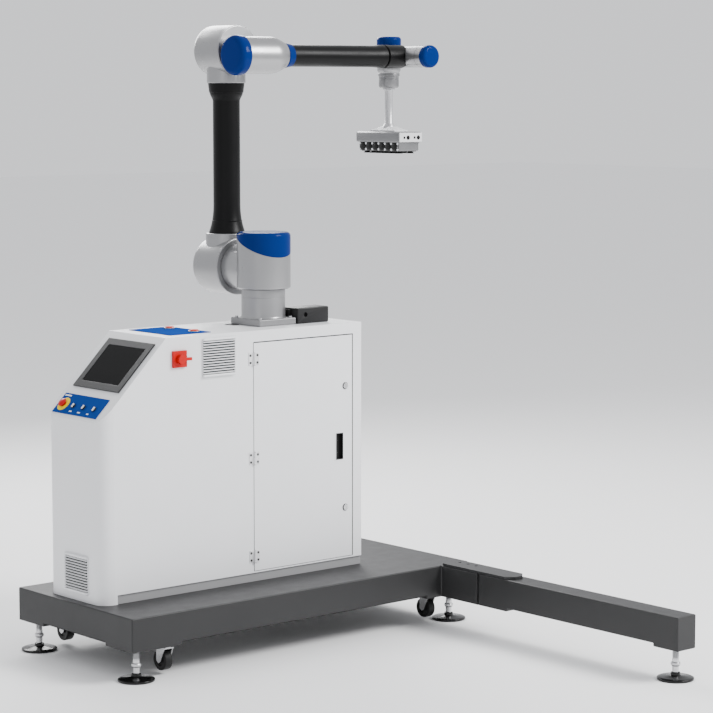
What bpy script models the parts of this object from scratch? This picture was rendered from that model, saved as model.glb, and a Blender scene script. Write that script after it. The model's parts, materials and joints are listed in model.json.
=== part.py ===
"""Palletising robot station: a six-axis collaborative arm on a control cabinet and a steel base.

Lengths are metres and +Z is up.  The station's own datum is on the floor, below the corner where
the cabinet's door side (-Y) meets its right end (+X).  The frame's origin is at the bottom centre
of the whole station, so every piece is shifted from the datum by FRAME_SHIFT.
"""

import math

import bmesh
import bpy
from mathutils import Matrix, Vector

# ---------------------------------------------------------------- driving dimensions
GAP = 0.0003            # between neighbours that rest on each other
RUN = 0.0015            # between pieces that turn against each other

# steel base
BASE_LEFT, BASE_RIGHT = -1.234, 0.351
BASE_NEAR, BASE_FAR = -0.226, 0.491
BASE_LOW, BASE_TOP = 0.122, 0.232
BASE_WALL = 0.006
PAD_DROP = 0.011        # how far the foot pads hang below the base's skirt
PAD_X, PAD_Y = 0.215, 0.165
BEAM_LEFT, BEAM_RIGHT = 0.211, 0.3065
BEAM_JOINT, BEAM_END = -0.425, -1.430
BEAM_GAP = 0.006
BEAM_WALL = 0.005
SPLICE_THICK = 0.010
SPLICE_START, SPLICE_END = -0.232, -0.600
BOLT_INSET, BOLT_YS = 0.032, (-0.262, -0.307, -0.352)

# levelling feet and casters
FOOT_RADIUS = 0.0655
FOOT_PLACES = {
    "left_far": (-1.181, 0.438), "left_near": (-1.181, -0.173), "inner": (0.312, -0.158),
    "right_far": (0.298, 0.438), "beam_end": (0.259, -1.380),
}
STEM_RADIUS = 0.012
CASTER_PLACES = {
    "left_far": (-1.054, 0.436), "left_near": (-1.052, -0.172), "inner": (0.224, -0.140),
    "right_far": (0.205, 0.436),
}
WHEEL_RADIUS, WHEEL_WIDTH = 0.0375, 0.032
WHEEL_BOTTOM = 0.014
CASTER_TRAIL = 0.018

# cabinet
CAB_LEFT, CAB_RIGHT = -1.200, 0.0
CAB_WIDTH = 0.350
CAB_LOW = BASE_TOP + GAP
CAB_TOP = 1.166
CAB_WALL = 0.003
CAB_CORNER = 0.055      # radius of the two rounded columns at the operator's end
SLOPE_RUN = 0.285       # the sloped operator panel is at 45 degrees
SLOPE_END = CAB_LEFT + SLOPE_RUN
SLOPE_LOW = CAB_TOP - SLOPE_RUN
PLINTH_TOP = 0.266
PLINTH_LEFT = -1.135
PLINTH_SET, PLINTH_THICK = 0.006, 0.0037
DOOR_LEFT, DOOR_RIGHT = -0.520, -0.046
DOOR_LOW, DOOR_TOP = 0.273, 1.121
DOOR_THICK = 0.018
DOOR_GAP = 0.002
HINGE_HEIGHTS = (1.062, 0.694, 0.328)
HINGE_PIN_Y = -0.0065
HINGE_SIZE = 0.046
LOCK_X, LOCK_HEIGHTS = -0.080, (0.928, 0.462)
LOCK_RADIUS = 0.011
PULL_LEFT, PULL_RIGHT, PULL_LOW, PULL_TOP = -0.125, -0.093, 0.650, 0.748
UPPER_VENT = (-0.755, -0.607, 1.013, 1.153)
LOWER_VENT = (0.084, 0.228, 0.262, 0.399)
VENT_PROUD = 0.012
CABLE_PORT = (-0.452, 0.235)
SWITCH_X, SWITCH_Z, SWITCH_SIDE = -0.860, 1.0873, 0.060

# operator panel, by distance down the slope from its top edge and by Y
HMI_Y, HMI_SLOPE = (0.028, 0.312), (0.035, 0.263)
SCREEN_MARGIN_Y, SCREEN_MARGIN_S = 0.030, 0.029
PANEL_Y, PANEL_SLOPE = (0.048, 0.322), (0.297, 0.385)
ESTOP_Y, ESTOP_S = 0.283, 0.347
SELECTOR_YS, SELECTOR_S = (0.219, 0.156, 0.090), 0.348
TOP_PANEL_X, TOP_PANEL_Y = (-0.855, -0.673), (0.055, 0.312)
TOP_BUTTON_X, TOP_BUTTON_YS = -0.720, (0.095, 0.245)
TOP_BUTTON_RADIUS, TOP_BUTTON_HOLE = 0.0175, 0.0095
ESTOP_HOLE, SELECTOR_HOLE = 0.0125, 0.0078

# robot arm: X and Y from the first axis, and the joints' heights from the floor
J1_X, J1_Y = -0.335, CAB_WIDTH / 2
PLATE_SIDE, PLATE_THICK = 0.176, 0.026
ARM_BASE_RADIUS = 0.0825
BOX_LEFT, BOX_RIGHT, BOX_Y, BOX_HEIGHT = 0.0935, 0.245, (-0.090, -0.010), 0.060
SHOULDER_RADIUS, SHOULDER_LOW, SHOULDER_TOP = 0.101, 1.302, 1.5135
CAP_CUT_Z, CAP_CUT_SLOPE = 1.468, 0.46
J2_Z, J3_Z = 1.375, 2.188
LINK_NEAR, LINK_FAR = 0.147, 0.314
LOWER_LINK_RADIUS, ELBOW_RADIUS = 0.107, 0.095
STUB_RADIUS = 0.088
LOWER_NECK_RADIUS, LOWER_NECK_Y, LOWER_NECK_TOP = 0.078, 0.2255, 1.499
UPPER_NECK_RADIUS, UPPER_NECK_LOW = 0.0735, 2.067
TUBE_Y = 0.2205
TUBE_RADIUS, FLARE_RADIUS = 0.0515, 0.0695

# forearm, wrist and gripper: Y from the first axis, heights from FOREARM_Z
FOREARM_Y, FOREARM_Z = 0.068, 2.170
FOREARM_RADIUS = 0.070
FOREARM_REAR, FOREARM_FRONT = -0.051, 0.150
FOREARM_TAPER = 0.020
ELBOW_BOSS_RADIUS = 0.049
FOREARM_CAP_RADIUS, FOREARM_CAP_DEPTH = 0.075, 0.045
RING_END = 0.184
ROLL_TUBE_RADIUS = 0.0415
ROLL_TUBE_END = 0.650
COLLAR_START, COLLAR_END = 0.657, 0.751
WRIST_X = 0.773
WRIST_RADIUS, WRIST_NEAR = 0.042, -0.127
WRIST_CAP_DEPTH = 0.030
TOOL_Y = 0.166
TOOL_RADIUS = 0.047
TOOL_CAP_LOW, TOOL_CAP_TOP = 0.040, 0.0795
TOOL_LOW = -0.062
FLANGE_LOW = -0.122
PIPE_RADIUS = 0.0163
PIPE_LOW = -0.272
GRIP_LENGTH, GRIP_WIDTH = 0.258, 0.123
GRIP_TOP, GRIP_MID, GRIP_LOW = -0.295, -0.337, -0.370
CUP_COUNT, CUP_PITCH, CUP_RADIUS = 6, 0.038, 0.0165
CUP_LOW = -0.380

# the box that the whole station fills, from the dimensions above
STATION_X = (FOOT_PLACES["left_far"][0] - FOOT_RADIUS,
             J1_X + WRIST_X + GRIP_WIDTH / 2)
STATION_Y = (FOOT_PLACES["beam_end"][1] - FOOT_RADIUS, FOOT_PLACES["left_far"][1] + FOOT_RADIUS)
FRAME_SHIFT = Vector((-sum(STATION_X) / 2, -sum(STATION_Y) / 2, 0))

SLOPE_TOP_EDGE = Vector((SLOPE_END, 0, CAB_TOP))
SLOPE_DOWN = Vector((-1, 0, -1)).normalized()
SLOPE_OUT = Vector((-1, 0, 1)).normalized()

# colour, roughness, metallic
FINISHES = {
    "dark_steel": ((0.085, 0.085, 0.085), 0.45, 0.1),
    "cabinet_paint": ((0.70, 0.71, 0.72), 0.45, 0.0),
    "plinth_paint": ((0.40, 0.40, 0.40), 0.50, 0.0),
    "chrome": ((0.80, 0.80, 0.80), 0.10, 1.0),
    "zinc": ((0.62, 0.62, 0.62), 0.30, 0.9),
    "black_rubber": ((0.012, 0.012, 0.012), 0.35, 0.0),
    "black_plastic": ((0.020, 0.020, 0.020), 0.40, 0.0),
    "grey_plastic": ((0.075, 0.075, 0.075), 0.45, 0.0),
    "screen_glass": ((0.012, 0.012, 0.013), 0.15, 0.0),
    "panel_blue": ((0.028, 0.133, 0.423), 0.35, 0.0),
    "cap_blue": ((0.023, 0.085, 0.337), 0.15, 0.0),
    "arm_silver": ((0.46, 0.46, 0.47), 0.32, 0.6),
    "plate_grey": ((0.33, 0.33, 0.34), 0.40, 0.4),
    "tube_black": ((0.016, 0.016, 0.016), 0.42, 0.0),
    "warning_red": ((0.84, 0.015, 0.015), 0.30, 0.0),
    "aluminium": ((0.36, 0.36, 0.36), 0.35, 0.7),
}


# ---------------------------------------------------------------- scene and helpers
for old in list(bpy.data.objects):
    bpy.data.objects.remove(old, do_unlink=True)


def new_collection(name):
    collection = bpy.data.collections.new(name)
    bpy.context.scene.collection.children.link(collection)
    return collection


PARTS = new_collection("palletising_robot_station")
CUTTERS = new_collection("cutters")


def finish(name):
    material = bpy.data.materials.get(name) or bpy.data.materials.new(name)
    colour, roughness, metallic = FINISHES[name]
    material.use_nodes = True
    shader = material.node_tree.nodes["Principled BSDF"]
    shader.inputs["Base Color"].default_value = (*colour, 1)
    shader.inputs["Roughness"].default_value = roughness
    shader.inputs["Metallic"].default_value = metallic
    return material


def put(name, mesh, material, origin, matrix=None):
    """Link an object whose origin is at a datum point; a cutter has no material."""
    item = bpy.data.objects.new(name, mesh)
    item.matrix_world = Matrix.Translation(Vector(origin) + FRAME_SHIFT) @ (matrix or Matrix())
    if material:
        PARTS.objects.link(item)
        mesh.materials.append(finish(material))
        mesh.shade_smooth()
        mesh.set_sharp_from_angle(angle=math.radians(35))
    else:
        CUTTERS.objects.link(item)
        item.hide_render = True
        item.display_type = "WIRE"
    return item


def from_bmesh(name, shape, material, origin=(0, 0, 0)):
    """Make an object from a shape drawn in datum coordinates, with its origin at a point."""
    shape.transform(Matrix.Translation(-Vector(origin)))
    mesh = bpy.data.meshes.new(name)
    shape.to_mesh(mesh)
    shape.free()
    return put(name, mesh, material, origin)


def turn_shape(shape, turn):
    """Apply a matrix; a mirroring one would leave the faces pointing in, so they are flipped."""
    shape.transform(turn)
    if turn.determinant() < 0:
        bmesh.ops.reverse_faces(shape, faces=shape.faces)


def block(name, low, high, material=None, origin=(0, 0, 0), turn=None):
    """A box between two corners; turn is a matrix that is applied about the datum afterwards."""
    low, high = Vector(low), Vector(high)
    shape = bmesh.new()
    place = Matrix.LocRotScale((low + high) / 2, None, high - low)
    bmesh.ops.create_cube(shape, size=1, matrix=place)
    if turn:
        turn_shape(shape, turn)
    return from_bmesh(name, shape, material, origin)


def rod(name, start, end, radius, material=None, end_radius=None, sides=32, origin=(0, 0, 0)):
    start, end = Vector(start), Vector(end)
    along = end - start
    turn = Vector((0, 0, 1)).rotation_difference(along.normalized())
    shape = bmesh.new()
    bmesh.ops.create_cone(
        shape, cap_ends=True, segments=sides, radius1=radius,
        radius2=radius if end_radius is None else end_radius, depth=along.length,
        matrix=Matrix.LocRotScale((start + end) / 2, turn, None))
    return from_bmesh(name, shape, material, origin)


def turned(name, profile, centre, axis=(0, 0, 1), material=None, steps=28):
    """Turn a profile of (radius, height), top to bottom, about an axis through a datum point."""
    mesh = bpy.data.meshes.new(name)
    points = [(radius, 0, height) for radius, height in profile]
    mesh.from_pydata(points, [(i, i + 1) for i in range(len(points) - 1)], [])
    turn = Vector((0, 0, 1)).rotation_difference(Vector(axis)).to_matrix().to_4x4()
    item = put(name, mesh, material, centre, turn)
    screw = item.modifiers.new("turn", "SCREW")
    screw.steps = screw.render_steps = steps
    screw.use_merge_vertices = True
    screw.merge_threshold = 0.00001
    screw.use_smooth_shade = True
    return item


def prism(name, outline, low, high, material=None, turn=None, origin=(0, 0, 0)):
    """Extrude an outline of (x, y) from z = low to z = high, then apply turn about the datum."""
    shape = bmesh.new()
    face = shape.faces.new([shape.verts.new((x, y, low)) for x, y in outline])
    moved = bmesh.ops.extrude_face_region(shape, geom=[face])["geom"]
    bmesh.ops.translate(shape, vec=(0, 0, high - low),
                        verts=[v for v in moved if isinstance(v, bmesh.types.BMVert)])
    bmesh.ops.recalc_face_normals(shape, faces=shape.faces)
    if turn:
        turn_shape(shape, turn)
    return from_bmesh(name, shape, material, origin)


def boolean(item, other, operation):
    step = item.modifiers.new(operation.lower(), "BOOLEAN")
    step.operation = operation
    step.solver = "EXACT"
    step.object = other
    return item


def cut(item, *others):
    for other in others:
        boolean(item, other, "DIFFERENCE")
    return item


def join(item, *others):
    for other in others:
        boolean(item, other, "UNION")
    return item


def bevel(item, width, segments=2, angle=40):
    step = item.modifiers.new("bevel", "BEVEL")
    step.width = width
    step.segments = segments
    step.limit_method = "ANGLE"
    step.angle_limit = math.radians(angle)
    return item


def arc(centre, radius, start, end, steps):
    """Points on an arc, by angles in degrees."""
    angles = [math.radians(start + (end - start) * i / steps) for i in range(steps + 1)]
    return [(centre[0] + radius * math.cos(a), centre[1] + radius * math.sin(a)) for a in angles]


def rounded_profile(radius, low, high, top_round, low_round, steps=3):
    """A turned profile from the axis at the top to the axis at the bottom, with rounded rims."""
    top = arc((radius - top_round, high - top_round), top_round, 90, 0, steps)
    bottom = arc((radius - low_round, low + low_round), low_round, 0, -90, steps)
    return [(0, high)] + top + bottom + [(0, low)]


def side_frame():
    """Turns an outline of (x, z) and a depth into x, y = depth, z."""
    return Matrix(((1, 0, 0, 0), (0, 0, 1, 0), (0, 1, 0, 0), (0, 0, 0, 1)))


def slope_frame():
    """Turns (distance down the slope, y, height out of it) into datum coordinates."""
    columns = (SLOPE_DOWN, Vector((0, 1, 0)), SLOPE_OUT, SLOPE_TOP_EDGE)
    return Matrix([[column[row] for column in columns] for row in range(3)] + [[0, 0, 0, 1]])


def on_slope(down, y, out=0.0):
    return slope_frame() @ Vector((down, y, out))


# ---------------------------------------------------------------- steel base
def make_base():
    base = block("platform_frame", (BASE_LEFT, BASE_NEAR, BASE_LOW),
                 (BASE_RIGHT, BASE_FAR, BASE_TOP), "dark_steel")
    for name, (x, y) in {"ll": (0, 0), "lr": (1, 0), "ul": (0, 1), "ur": (1, 1)}.items():
        left = BASE_RIGHT - PAD_X if x else BASE_LEFT
        near = BASE_FAR - PAD_Y if y else BASE_NEAR
        join(base, block("pad_" + name, (left, near, BASE_LOW - PAD_DROP),
                         (left + PAD_X, near + PAD_Y, BASE_TOP - 0.02)))
    join(base, block("stub", (BEAM_LEFT, BEAM_JOINT, BASE_LOW - PAD_DROP),
                     (BEAM_RIGHT, BASE_NEAR + 0.02, BASE_TOP)))
    ribs = 4
    bay = (BASE_RIGHT - BASE_LEFT - 2 * PAD_X) / ribs
    for i in range(ribs):
        left = BASE_LEFT + PAD_X + i * bay + BASE_WALL / 2
        cut(base, block("bay_%d" % i, (left, BASE_NEAR + BASE_WALL, BASE_LOW - 0.05),
                        (left + bay - BASE_WALL, BASE_FAR - BASE_WALL, BASE_TOP - BASE_WALL)))
    for i, left in enumerate((BASE_LEFT + BASE_WALL, BASE_RIGHT - PAD_X + BASE_WALL)):
        cut(base, block("end_bay_%d" % i, (left, BASE_NEAR + PAD_Y + BASE_WALL, BASE_LOW - 0.05),
                        (left + PAD_X - 2 * BASE_WALL, BASE_FAR - PAD_Y - BASE_WALL,
                         BASE_TOP - BASE_WALL)))
        for y, end in ((BASE_NEAR + BASE_WALL, BASE_NEAR + PAD_Y - BASE_WALL),
                       (BASE_FAR - PAD_Y + BASE_WALL, BASE_FAR - BASE_WALL)):
            cut(base, block("pad_bay_%d" % i, (left, y, BASE_LOW),
                            (left + PAD_X - 2 * BASE_WALL, end, BASE_TOP - BASE_WALL)))
    cut(base, block("stub_bore", (BEAM_LEFT + BEAM_WALL, BEAM_JOINT - 0.05,
                                  BASE_LOW - PAD_DROP + BEAM_WALL),
                    (BEAM_RIGHT - BEAM_WALL, BASE_NEAR + 0.05, BASE_TOP - BEAM_WALL)))
    for name, (x, y) in FOOT_PLACES.items():
        if name != "beam_end":
            cut(base, rod("stem_hole_" + name, (x, y, 0.05), (x, y, BASE_TOP - 0.02),
                          STEM_RADIUS + RUN, sides=16))
    return base


def make_beam():
    end = BEAM_JOINT - BEAM_GAP
    beam = block("extension_beam", (BEAM_LEFT, BEAM_END, BASE_LOW - PAD_DROP),
                 (BEAM_RIGHT, end, BASE_TOP), "dark_steel")
    raised = 0.012
    cut(beam, block("beam_relief", (BEAM_LEFT - 0.05, BEAM_END + 0.115, BASE_LOW - 0.05),
                    (BEAM_RIGHT + 0.05, end - 0.15, BASE_LOW - PAD_DROP + raised)))
    cut(beam, block("beam_bore", (BEAM_LEFT + BEAM_WALL, BEAM_END + BEAM_WALL,
                                  BASE_LOW - PAD_DROP + raised + BEAM_WALL),
                    (BEAM_RIGHT - BEAM_WALL, end + 0.05, BASE_TOP - BEAM_WALL)))
    x, y = FOOT_PLACES["beam_end"]
    cut(beam, rod("stem_hole_beam", (x, y, 0.05), (x, y, BASE_TOP - 0.02),
                  STEM_RADIUS + RUN, sides=16))
    slant = 0.030
    plate = prism("splice_plate",
                  [(BEAM_LEFT, SPLICE_START), (BEAM_RIGHT, SPLICE_START),
                   (BEAM_RIGHT, SPLICE_END + slant), (BEAM_RIGHT - slant, SPLICE_END),
                   (BEAM_LEFT + slant, SPLICE_END), (BEAM_LEFT, SPLICE_END + slant)],
                  BASE_TOP + GAP, BASE_TOP + SPLICE_THICK, "dark_steel")
    bolt_x = BEAM_RIGHT - BOLT_INSET
    for y in BOLT_YS:
        cut(plate, rod("bolt_hole", (bolt_x, y, BASE_TOP - 0.01), (bolt_x, y, BASE_TOP + 0.05),
                       0.0065, sides=12))


def make_foot(name, x, y):
    """A disc on the floor, a threaded stem with its swelling, and the lock nut."""
    top = BASE_LOW + 0.045
    profile = [(0, top), (STEM_RADIUS, top), (STEM_RADIUS, 0.070), (0.0145, 0.065),
               (0.0175, 0.059), (0.0175, 0.051), (0.0130, 0.043), (0.0120, 0.028),
               (0.018, 0.0245), (0.018, 0.0130), (FOOT_RADIUS - 0.010, 0.0095),
               (FOOT_RADIUS, 0.006), (FOOT_RADIUS, 0), (0, 0)]
    turned("foot_" + name, profile, (x, y, 0), material="chrome", steps=16)


def make_caster(name, x, y):
    """A fork on a swivel pin, and its wheel on an axle behind the pin."""
    axle_y, axle_z = y + CASTER_TRAIL, WHEEL_BOTTOM + WHEEL_RADIUS
    cheek = WHEEL_WIDTH / 2 + RUN
    thick = 0.003
    crown = WHEEL_BOTTOM + 2 * WHEEL_RADIUS + 0.006
    # a pad hangs over each caster but reaches no lower than this
    under = BASE_LOW - PAD_DROP - GAP
    front, back = axle_y - 0.036, axle_y + 0.014
    fork = block("caster_fork_" + name, (x - cheek - thick, front, crown),
                 (x + cheek + thick, back, crown + 0.004), "zinc", (x, y, crown))
    for side in (-1, 1):
        x0, x1 = sorted((x + side * cheek, x + side * (cheek + thick)))
        leg = prism("fork_leg", [(front + 0.002, crown + 0.002), (axle_y - 0.012, axle_z - 0.004),
                                 (axle_y, axle_z - 0.012), (axle_y + 0.012, axle_z - 0.004),
                                 (back - 0.001, crown + 0.002)], x0, x1,
                    turn=Matrix(((0, 0, 1, 0), (1, 0, 0, 0), (0, 1, 0, 0), (0, 0, 0, 1))))
        join(fork, leg)
    join(fork, rod("axle", (x - cheek - 0.001, axle_y, axle_z), (x + cheek + 0.001, axle_y, axle_z),
                   0.004, sides=12))
    join(fork, rod("swivel", (x, y, crown + 0.002), (x, y, under - RUN), 0.020, sides=20))
    bore = 0.0045
    half = WHEEL_WIDTH / 2
    rim = 0.004
    profile = [(bore, half), (WHEEL_RADIUS - rim, half), (WHEEL_RADIUS, half - rim),
               (WHEEL_RADIUS, rim - half), (WHEEL_RADIUS - rim, -half), (bore, -half),
               (bore, half)]
    turned("caster_wheel_" + name, profile, (x, axle_y, axle_z), (1, 0, 0), "black_rubber", 16)


# ---------------------------------------------------------------- cabinet
def cabinet_outline(inset):
    """The cabinet's side outline as (x, z), drawn inside its skin by an inset."""
    corner = inset * math.tan(math.radians(22.5))
    return [(CAB_LEFT + inset, CAB_LOW), (CAB_RIGHT - inset, CAB_LOW),
            (CAB_RIGHT - inset, CAB_TOP - inset), (SLOPE_END + corner, CAB_TOP - inset),
            (CAB_LEFT + inset, SLOPE_LOW - corner)]


def column_cutter(name, y, outward, radius):
    """The waste outside a rounded vertical column at the operator's end."""
    reach = 0.02
    centre_x = CAB_LEFT + CAB_CORNER
    centre_y = y - outward * CAB_CORNER
    waste = arc((centre_x, centre_y), radius, 180, 180 - 90 * outward, 7)
    waste += [(centre_x, y + outward * reach), (CAB_LEFT - reach, y + outward * reach),
              (CAB_LEFT - reach, centre_y)]
    return prism(name, waste, CAB_LOW - reach, CAB_TOP + reach)


def make_cabinet():
    shell = prism("cabinet_shell", cabinet_outline(0), 0, CAB_WIDTH, "cabinet_paint",
                  side_frame())
    hollow = prism("cabinet_hollow", cabinet_outline(CAB_WALL), CAB_WALL, CAB_WIDTH - CAB_WALL,
                   None, side_frame())
    cut(hollow, block("floor_fill", (-2, -1, 0), (1, 1, CAB_LOW + CAB_WALL)))
    for y, outward in ((0, -1), (CAB_WIDTH, 1)):
        cut(shell, column_cutter("column", y, outward, CAB_CORNER))
        cut(hollow, column_cutter("inner_column", y, outward, CAB_CORNER - CAB_WALL))
    cut(shell, hollow)
    cut(shell, block("door_opening", (DOOR_LEFT - DOOR_GAP, -0.02, DOOR_LOW - DOOR_GAP),
                     (DOOR_RIGHT + DOOR_GAP, 0.02, DOOR_TOP + DOOR_GAP)))
    cut(shell, block("plinth_recess", (PLINTH_LEFT, -0.02, CAB_LOW - 0.01),
                     (CAB_RIGHT + 0.02, PLINTH_SET + PLINTH_THICK + GAP, PLINTH_TOP)))
    x, y = CABLE_PORT
    cut(shell, rod("cable_port", (x, y, CAB_TOP - 0.05), (x, y, CAB_TOP + 0.05), 0.015, sides=16))
    make_openings_for_controls(shell)
    block("plinth", (PLINTH_LEFT + GAP, PLINTH_SET, CAB_LOW),
          (CAB_RIGHT - GAP, PLINTH_SET + PLINTH_THICK, PLINTH_TOP - GAP), "plinth_paint")


def make_openings_for_controls(shell):
    x0, x1, z0, z1 = UPPER_VENT
    cut(shell, block("upper_vent_hole", (x0 + 0.012, -0.02, z0 + 0.012),
                     (x1 - 0.012, 0.01, z1 - 0.012)))
    y0, y1, z0, z1 = LOWER_VENT
    cut(shell, block("lower_vent_hole", (CAB_LEFT - 0.01, y0 + 0.012, z0 + 0.012),
                     (CAB_LEFT + 0.01, y1 - 0.012, z1 - 0.012)))
    cut(shell, rod("switch_hole", (SWITCH_X, -0.02, SWITCH_Z), (SWITCH_X, 0.01, SWITCH_Z),
                   0.016, sides=20))
    for y in (ESTOP_Y, *SELECTOR_YS):
        radius = ESTOP_HOLE if y == ESTOP_Y else SELECTOR_HOLE
        down = ESTOP_S if y == ESTOP_Y else SELECTOR_S
        cut(shell, rod("slope_hole", on_slope(down, y, -0.02), on_slope(down, y, 0.02), radius,
                       sides=16))
    for y in TOP_BUTTON_YS:
        cut(shell, rod("top_hole", (TOP_BUTTON_X, y, CAB_TOP - 0.02),
                       (TOP_BUTTON_X, y, CAB_TOP + 0.02), TOP_BUTTON_HOLE, sides=16))


def make_vent(name, width, height, turn):
    """A louvred cover: a rim with slanted slats, and an open back."""
    slats = 9
    rim = 0.008
    cover = block(name, (0, GAP, 0), (width, VENT_PROUD, height), "cabinet_paint", turn=turn)
    cut(cover, block(name + "_back", (rim, -0.01, rim), (width - rim, VENT_PROUD - 0.003,
                                                      height - rim), turn=turn))
    pitch = (height - 2 * rim) / slats
    for i in range(slats):
        low = rim + i * pitch + 0.35 * pitch
        cut(cover, block(name + "_slot", (rim + 0.003, VENT_PROUD - 0.006, low),
                         (width - rim - 0.003, VENT_PROUD + 0.01, low + 0.3 * pitch), turn=turn))


def make_vents():
    x0, x1, z0, z1 = UPPER_VENT
    outward = Matrix.Translation((x1, 0, z0)) @ Matrix.Rotation(math.pi, 4, "Z")
    make_vent("vent_upper", x1 - x0, z1 - z0, outward)
    y0, y1, z0, z1 = LOWER_VENT
    outward = Matrix.Translation((CAB_LEFT, y0, z0)) @ Matrix.Rotation(math.pi / 2, 4, "Z")
    make_vent("vent_lower", y1 - y0, z1 - z0, outward)


def make_door():
    hinge_line = (DOOR_LEFT, HINGE_PIN_Y, 0)
    door = block("door", (DOOR_LEFT, 0, DOOR_LOW), (DOOR_RIGHT, DOOR_THICK, DOOR_TOP),
                 "cabinet_paint", hinge_line)
    skin = 0.002
    rim = 0.030
    cut(door, block("door_back", (DOOR_LEFT + rim, skin, DOOR_LOW + rim),
                    (DOOR_RIGHT - 0.065, DOOR_THICK + 0.02, DOOR_TOP - rim)))
    wide = 0.003
    cut(door, block("pull_hole", (PULL_LEFT - wide, -0.02, PULL_LOW - wide),
                    (PULL_RIGHT + wide, 0.05, PULL_TOP + wide)))
    pull = block("door_pull", (PULL_LEFT - wide + GAP, -0.001, PULL_LOW - wide + GAP),
                 (PULL_RIGHT + wide - GAP, 0.017, PULL_TOP + wide - GAP), "black_plastic",
                 hinge_line)
    cut(pull, block("pull_pocket", (PULL_LEFT, -0.02, PULL_LOW), (PULL_RIGHT, 0.014, PULL_TOP)))
    for z in LOCK_HEIGHTS:
        cut(door, rod("lock_hole", (LOCK_X, -0.05, z), (LOCK_X, 0.05, z), 0.0085, sides=20))
    for place, z in zip(("upper", "lower"), LOCK_HEIGHTS):
        lock = rod("door_lock_" + place, (LOCK_X, -0.0045, z), (LOCK_X, -GAP, z), LOCK_RADIUS,
                   "zinc", sides=24, origin=(LOCK_X, 0, z))
        join(lock, rod("lock_barrel", (LOCK_X, -0.002, z), (LOCK_X, 0.024, z), 0.0075, sides=20))
        join(lock, block("lock_cam", (LOCK_X - 0.007, 0.020, z - 0.045), (LOCK_X + 0.007, 0.024, z)))
        cut(lock, block("lock_slot", (LOCK_X - 0.0012, -0.01, z - 0.007),
                        (LOCK_X + 0.0012, -0.0030, z + 0.007)))


def make_hinge(number, z):
    """The fixed leaf with the whole barrel."""
    half = HINGE_SIZE / 2
    leaf = 0.002
    radius = 0.004
    hinge = block("door_hinge_%d" % number, (DOOR_LEFT - half, -leaf - GAP, z - half),
                  (DOOR_LEFT - DOOR_GAP, -GAP, z + half), "cabinet_paint")
    barrel = rod("hinge_barrel", (DOOR_LEFT, HINGE_PIN_Y, z - half),
                 (DOOR_LEFT, HINGE_PIN_Y, z + half), radius, sides=16)
    join(hinge, barrel)
    join(hinge, block("hinge_web", (DOOR_LEFT - 0.004, HINGE_PIN_Y, z - half),
                      (DOOR_LEFT - DOOR_GAP, -GAP, z + half)))


def make_main_switch():
    half = SWITCH_SIDE / 2
    plate = block("main_switch_plate", (SWITCH_X - half, -0.010, SWITCH_Z - half),
                  (SWITCH_X + half, -GAP, SWITCH_Z + half), "warning_red")
    cut(plate, rod("switch_bore", (SWITCH_X, -0.05, SWITCH_Z), (SWITCH_X, 0.05, SWITCH_Z), 0.010,
                   sides=20))
    knob = rod("main_switch_knob", (SWITCH_X, -0.026, SWITCH_Z), (SWITCH_X, -0.011, SWITCH_Z),
               0.017, "warning_red", sides=28, origin=(SWITCH_X, 0, SWITCH_Z))
    join(knob, block("switch_handle", (SWITCH_X - 0.0165, -0.025, SWITCH_Z - 0.0055),
                     (SWITCH_X + 0.042, -0.015, SWITCH_Z + 0.0055)))
    join(knob, rod("switch_shaft", (SWITCH_X, -0.015, SWITCH_Z), (SWITCH_X, 0.030, SWITCH_Z), 0.008,
                   sides=20))


def slope_block(name, down, across, out, material=None):
    low = (down[0], across[0], out[0])
    high = (down[1], across[1], out[1])
    return block(name, low, high, material, turn=slope_frame())


def make_operator_panel():
    bezel_thick = 0.006
    bezel = slope_block("hmi_bezel", HMI_SLOPE, HMI_Y, (GAP, bezel_thick), "grey_plastic")
    window = ((HMI_SLOPE[0] + SCREEN_MARGIN_S, HMI_SLOPE[1] - SCREEN_MARGIN_S),
              (HMI_Y[0] + SCREEN_MARGIN_Y, HMI_Y[1] - SCREEN_MARGIN_Y))
    cut(bezel, slope_block("hmi_window", *window, (bezel_thick - 0.003, 0.05)))
    screen = [(low + GAP, high - GAP) for low, high in window]
    slope_block("hmi_screen", *screen, (bezel_thick - 0.003 + GAP, bezel_thick - 0.001),
                "screen_glass")
    thick = 0.0025
    panel = slope_block("control_panel", PANEL_SLOPE, PANEL_Y, (GAP, thick), "panel_blue")
    holes = [(ESTOP_S, ESTOP_Y, ESTOP_HOLE)]
    holes += [(SELECTOR_S, y, SELECTOR_HOLE) for y in SELECTOR_YS]
    for down, y, radius in holes:
        cut(panel, rod("panel_hole", on_slope(down, y, -0.02), on_slope(down, y, 0.02), radius,
                       sides=16))
    top = 0.021
    mushroom = [(0, top), (0.008, top - 0.0005), (0.014, top - 0.0025), (0.017, top - 0.006),
                (0.017, top - 0.0095), (0.0115, top - 0.010), (0.010, top - 0.011),
                (0.010, -0.025), (0, -0.025)]
    turned("estop_button", mushroom, on_slope(ESTOP_S, ESTOP_Y), SLOPE_OUT, "warning_red", 20)
    for number, y in enumerate(SELECTOR_YS, 1):
        make_selector(number, y, thick)


def make_selector(number, y, thick):
    knob = rod("selector_%d" % number, on_slope(SELECTOR_S, y, thick + GAP),
               on_slope(SELECTOR_S, y, thick + 0.005), 0.0095, "black_plastic", sides=24,
               origin=on_slope(SELECTOR_S, y))
    join(knob, slope_block("selector_bar", (SELECTOR_S - 0.008, SELECTOR_S + 0.008),
                           (y - 0.0025, y + 0.0025), (thick + 0.003, thick + 0.013)))
    join(knob, rod("selector_stem", on_slope(SELECTOR_S, y, -0.020),
                   on_slope(SELECTOR_S, y, thick + 0.003), 0.0065, sides=16))


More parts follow.
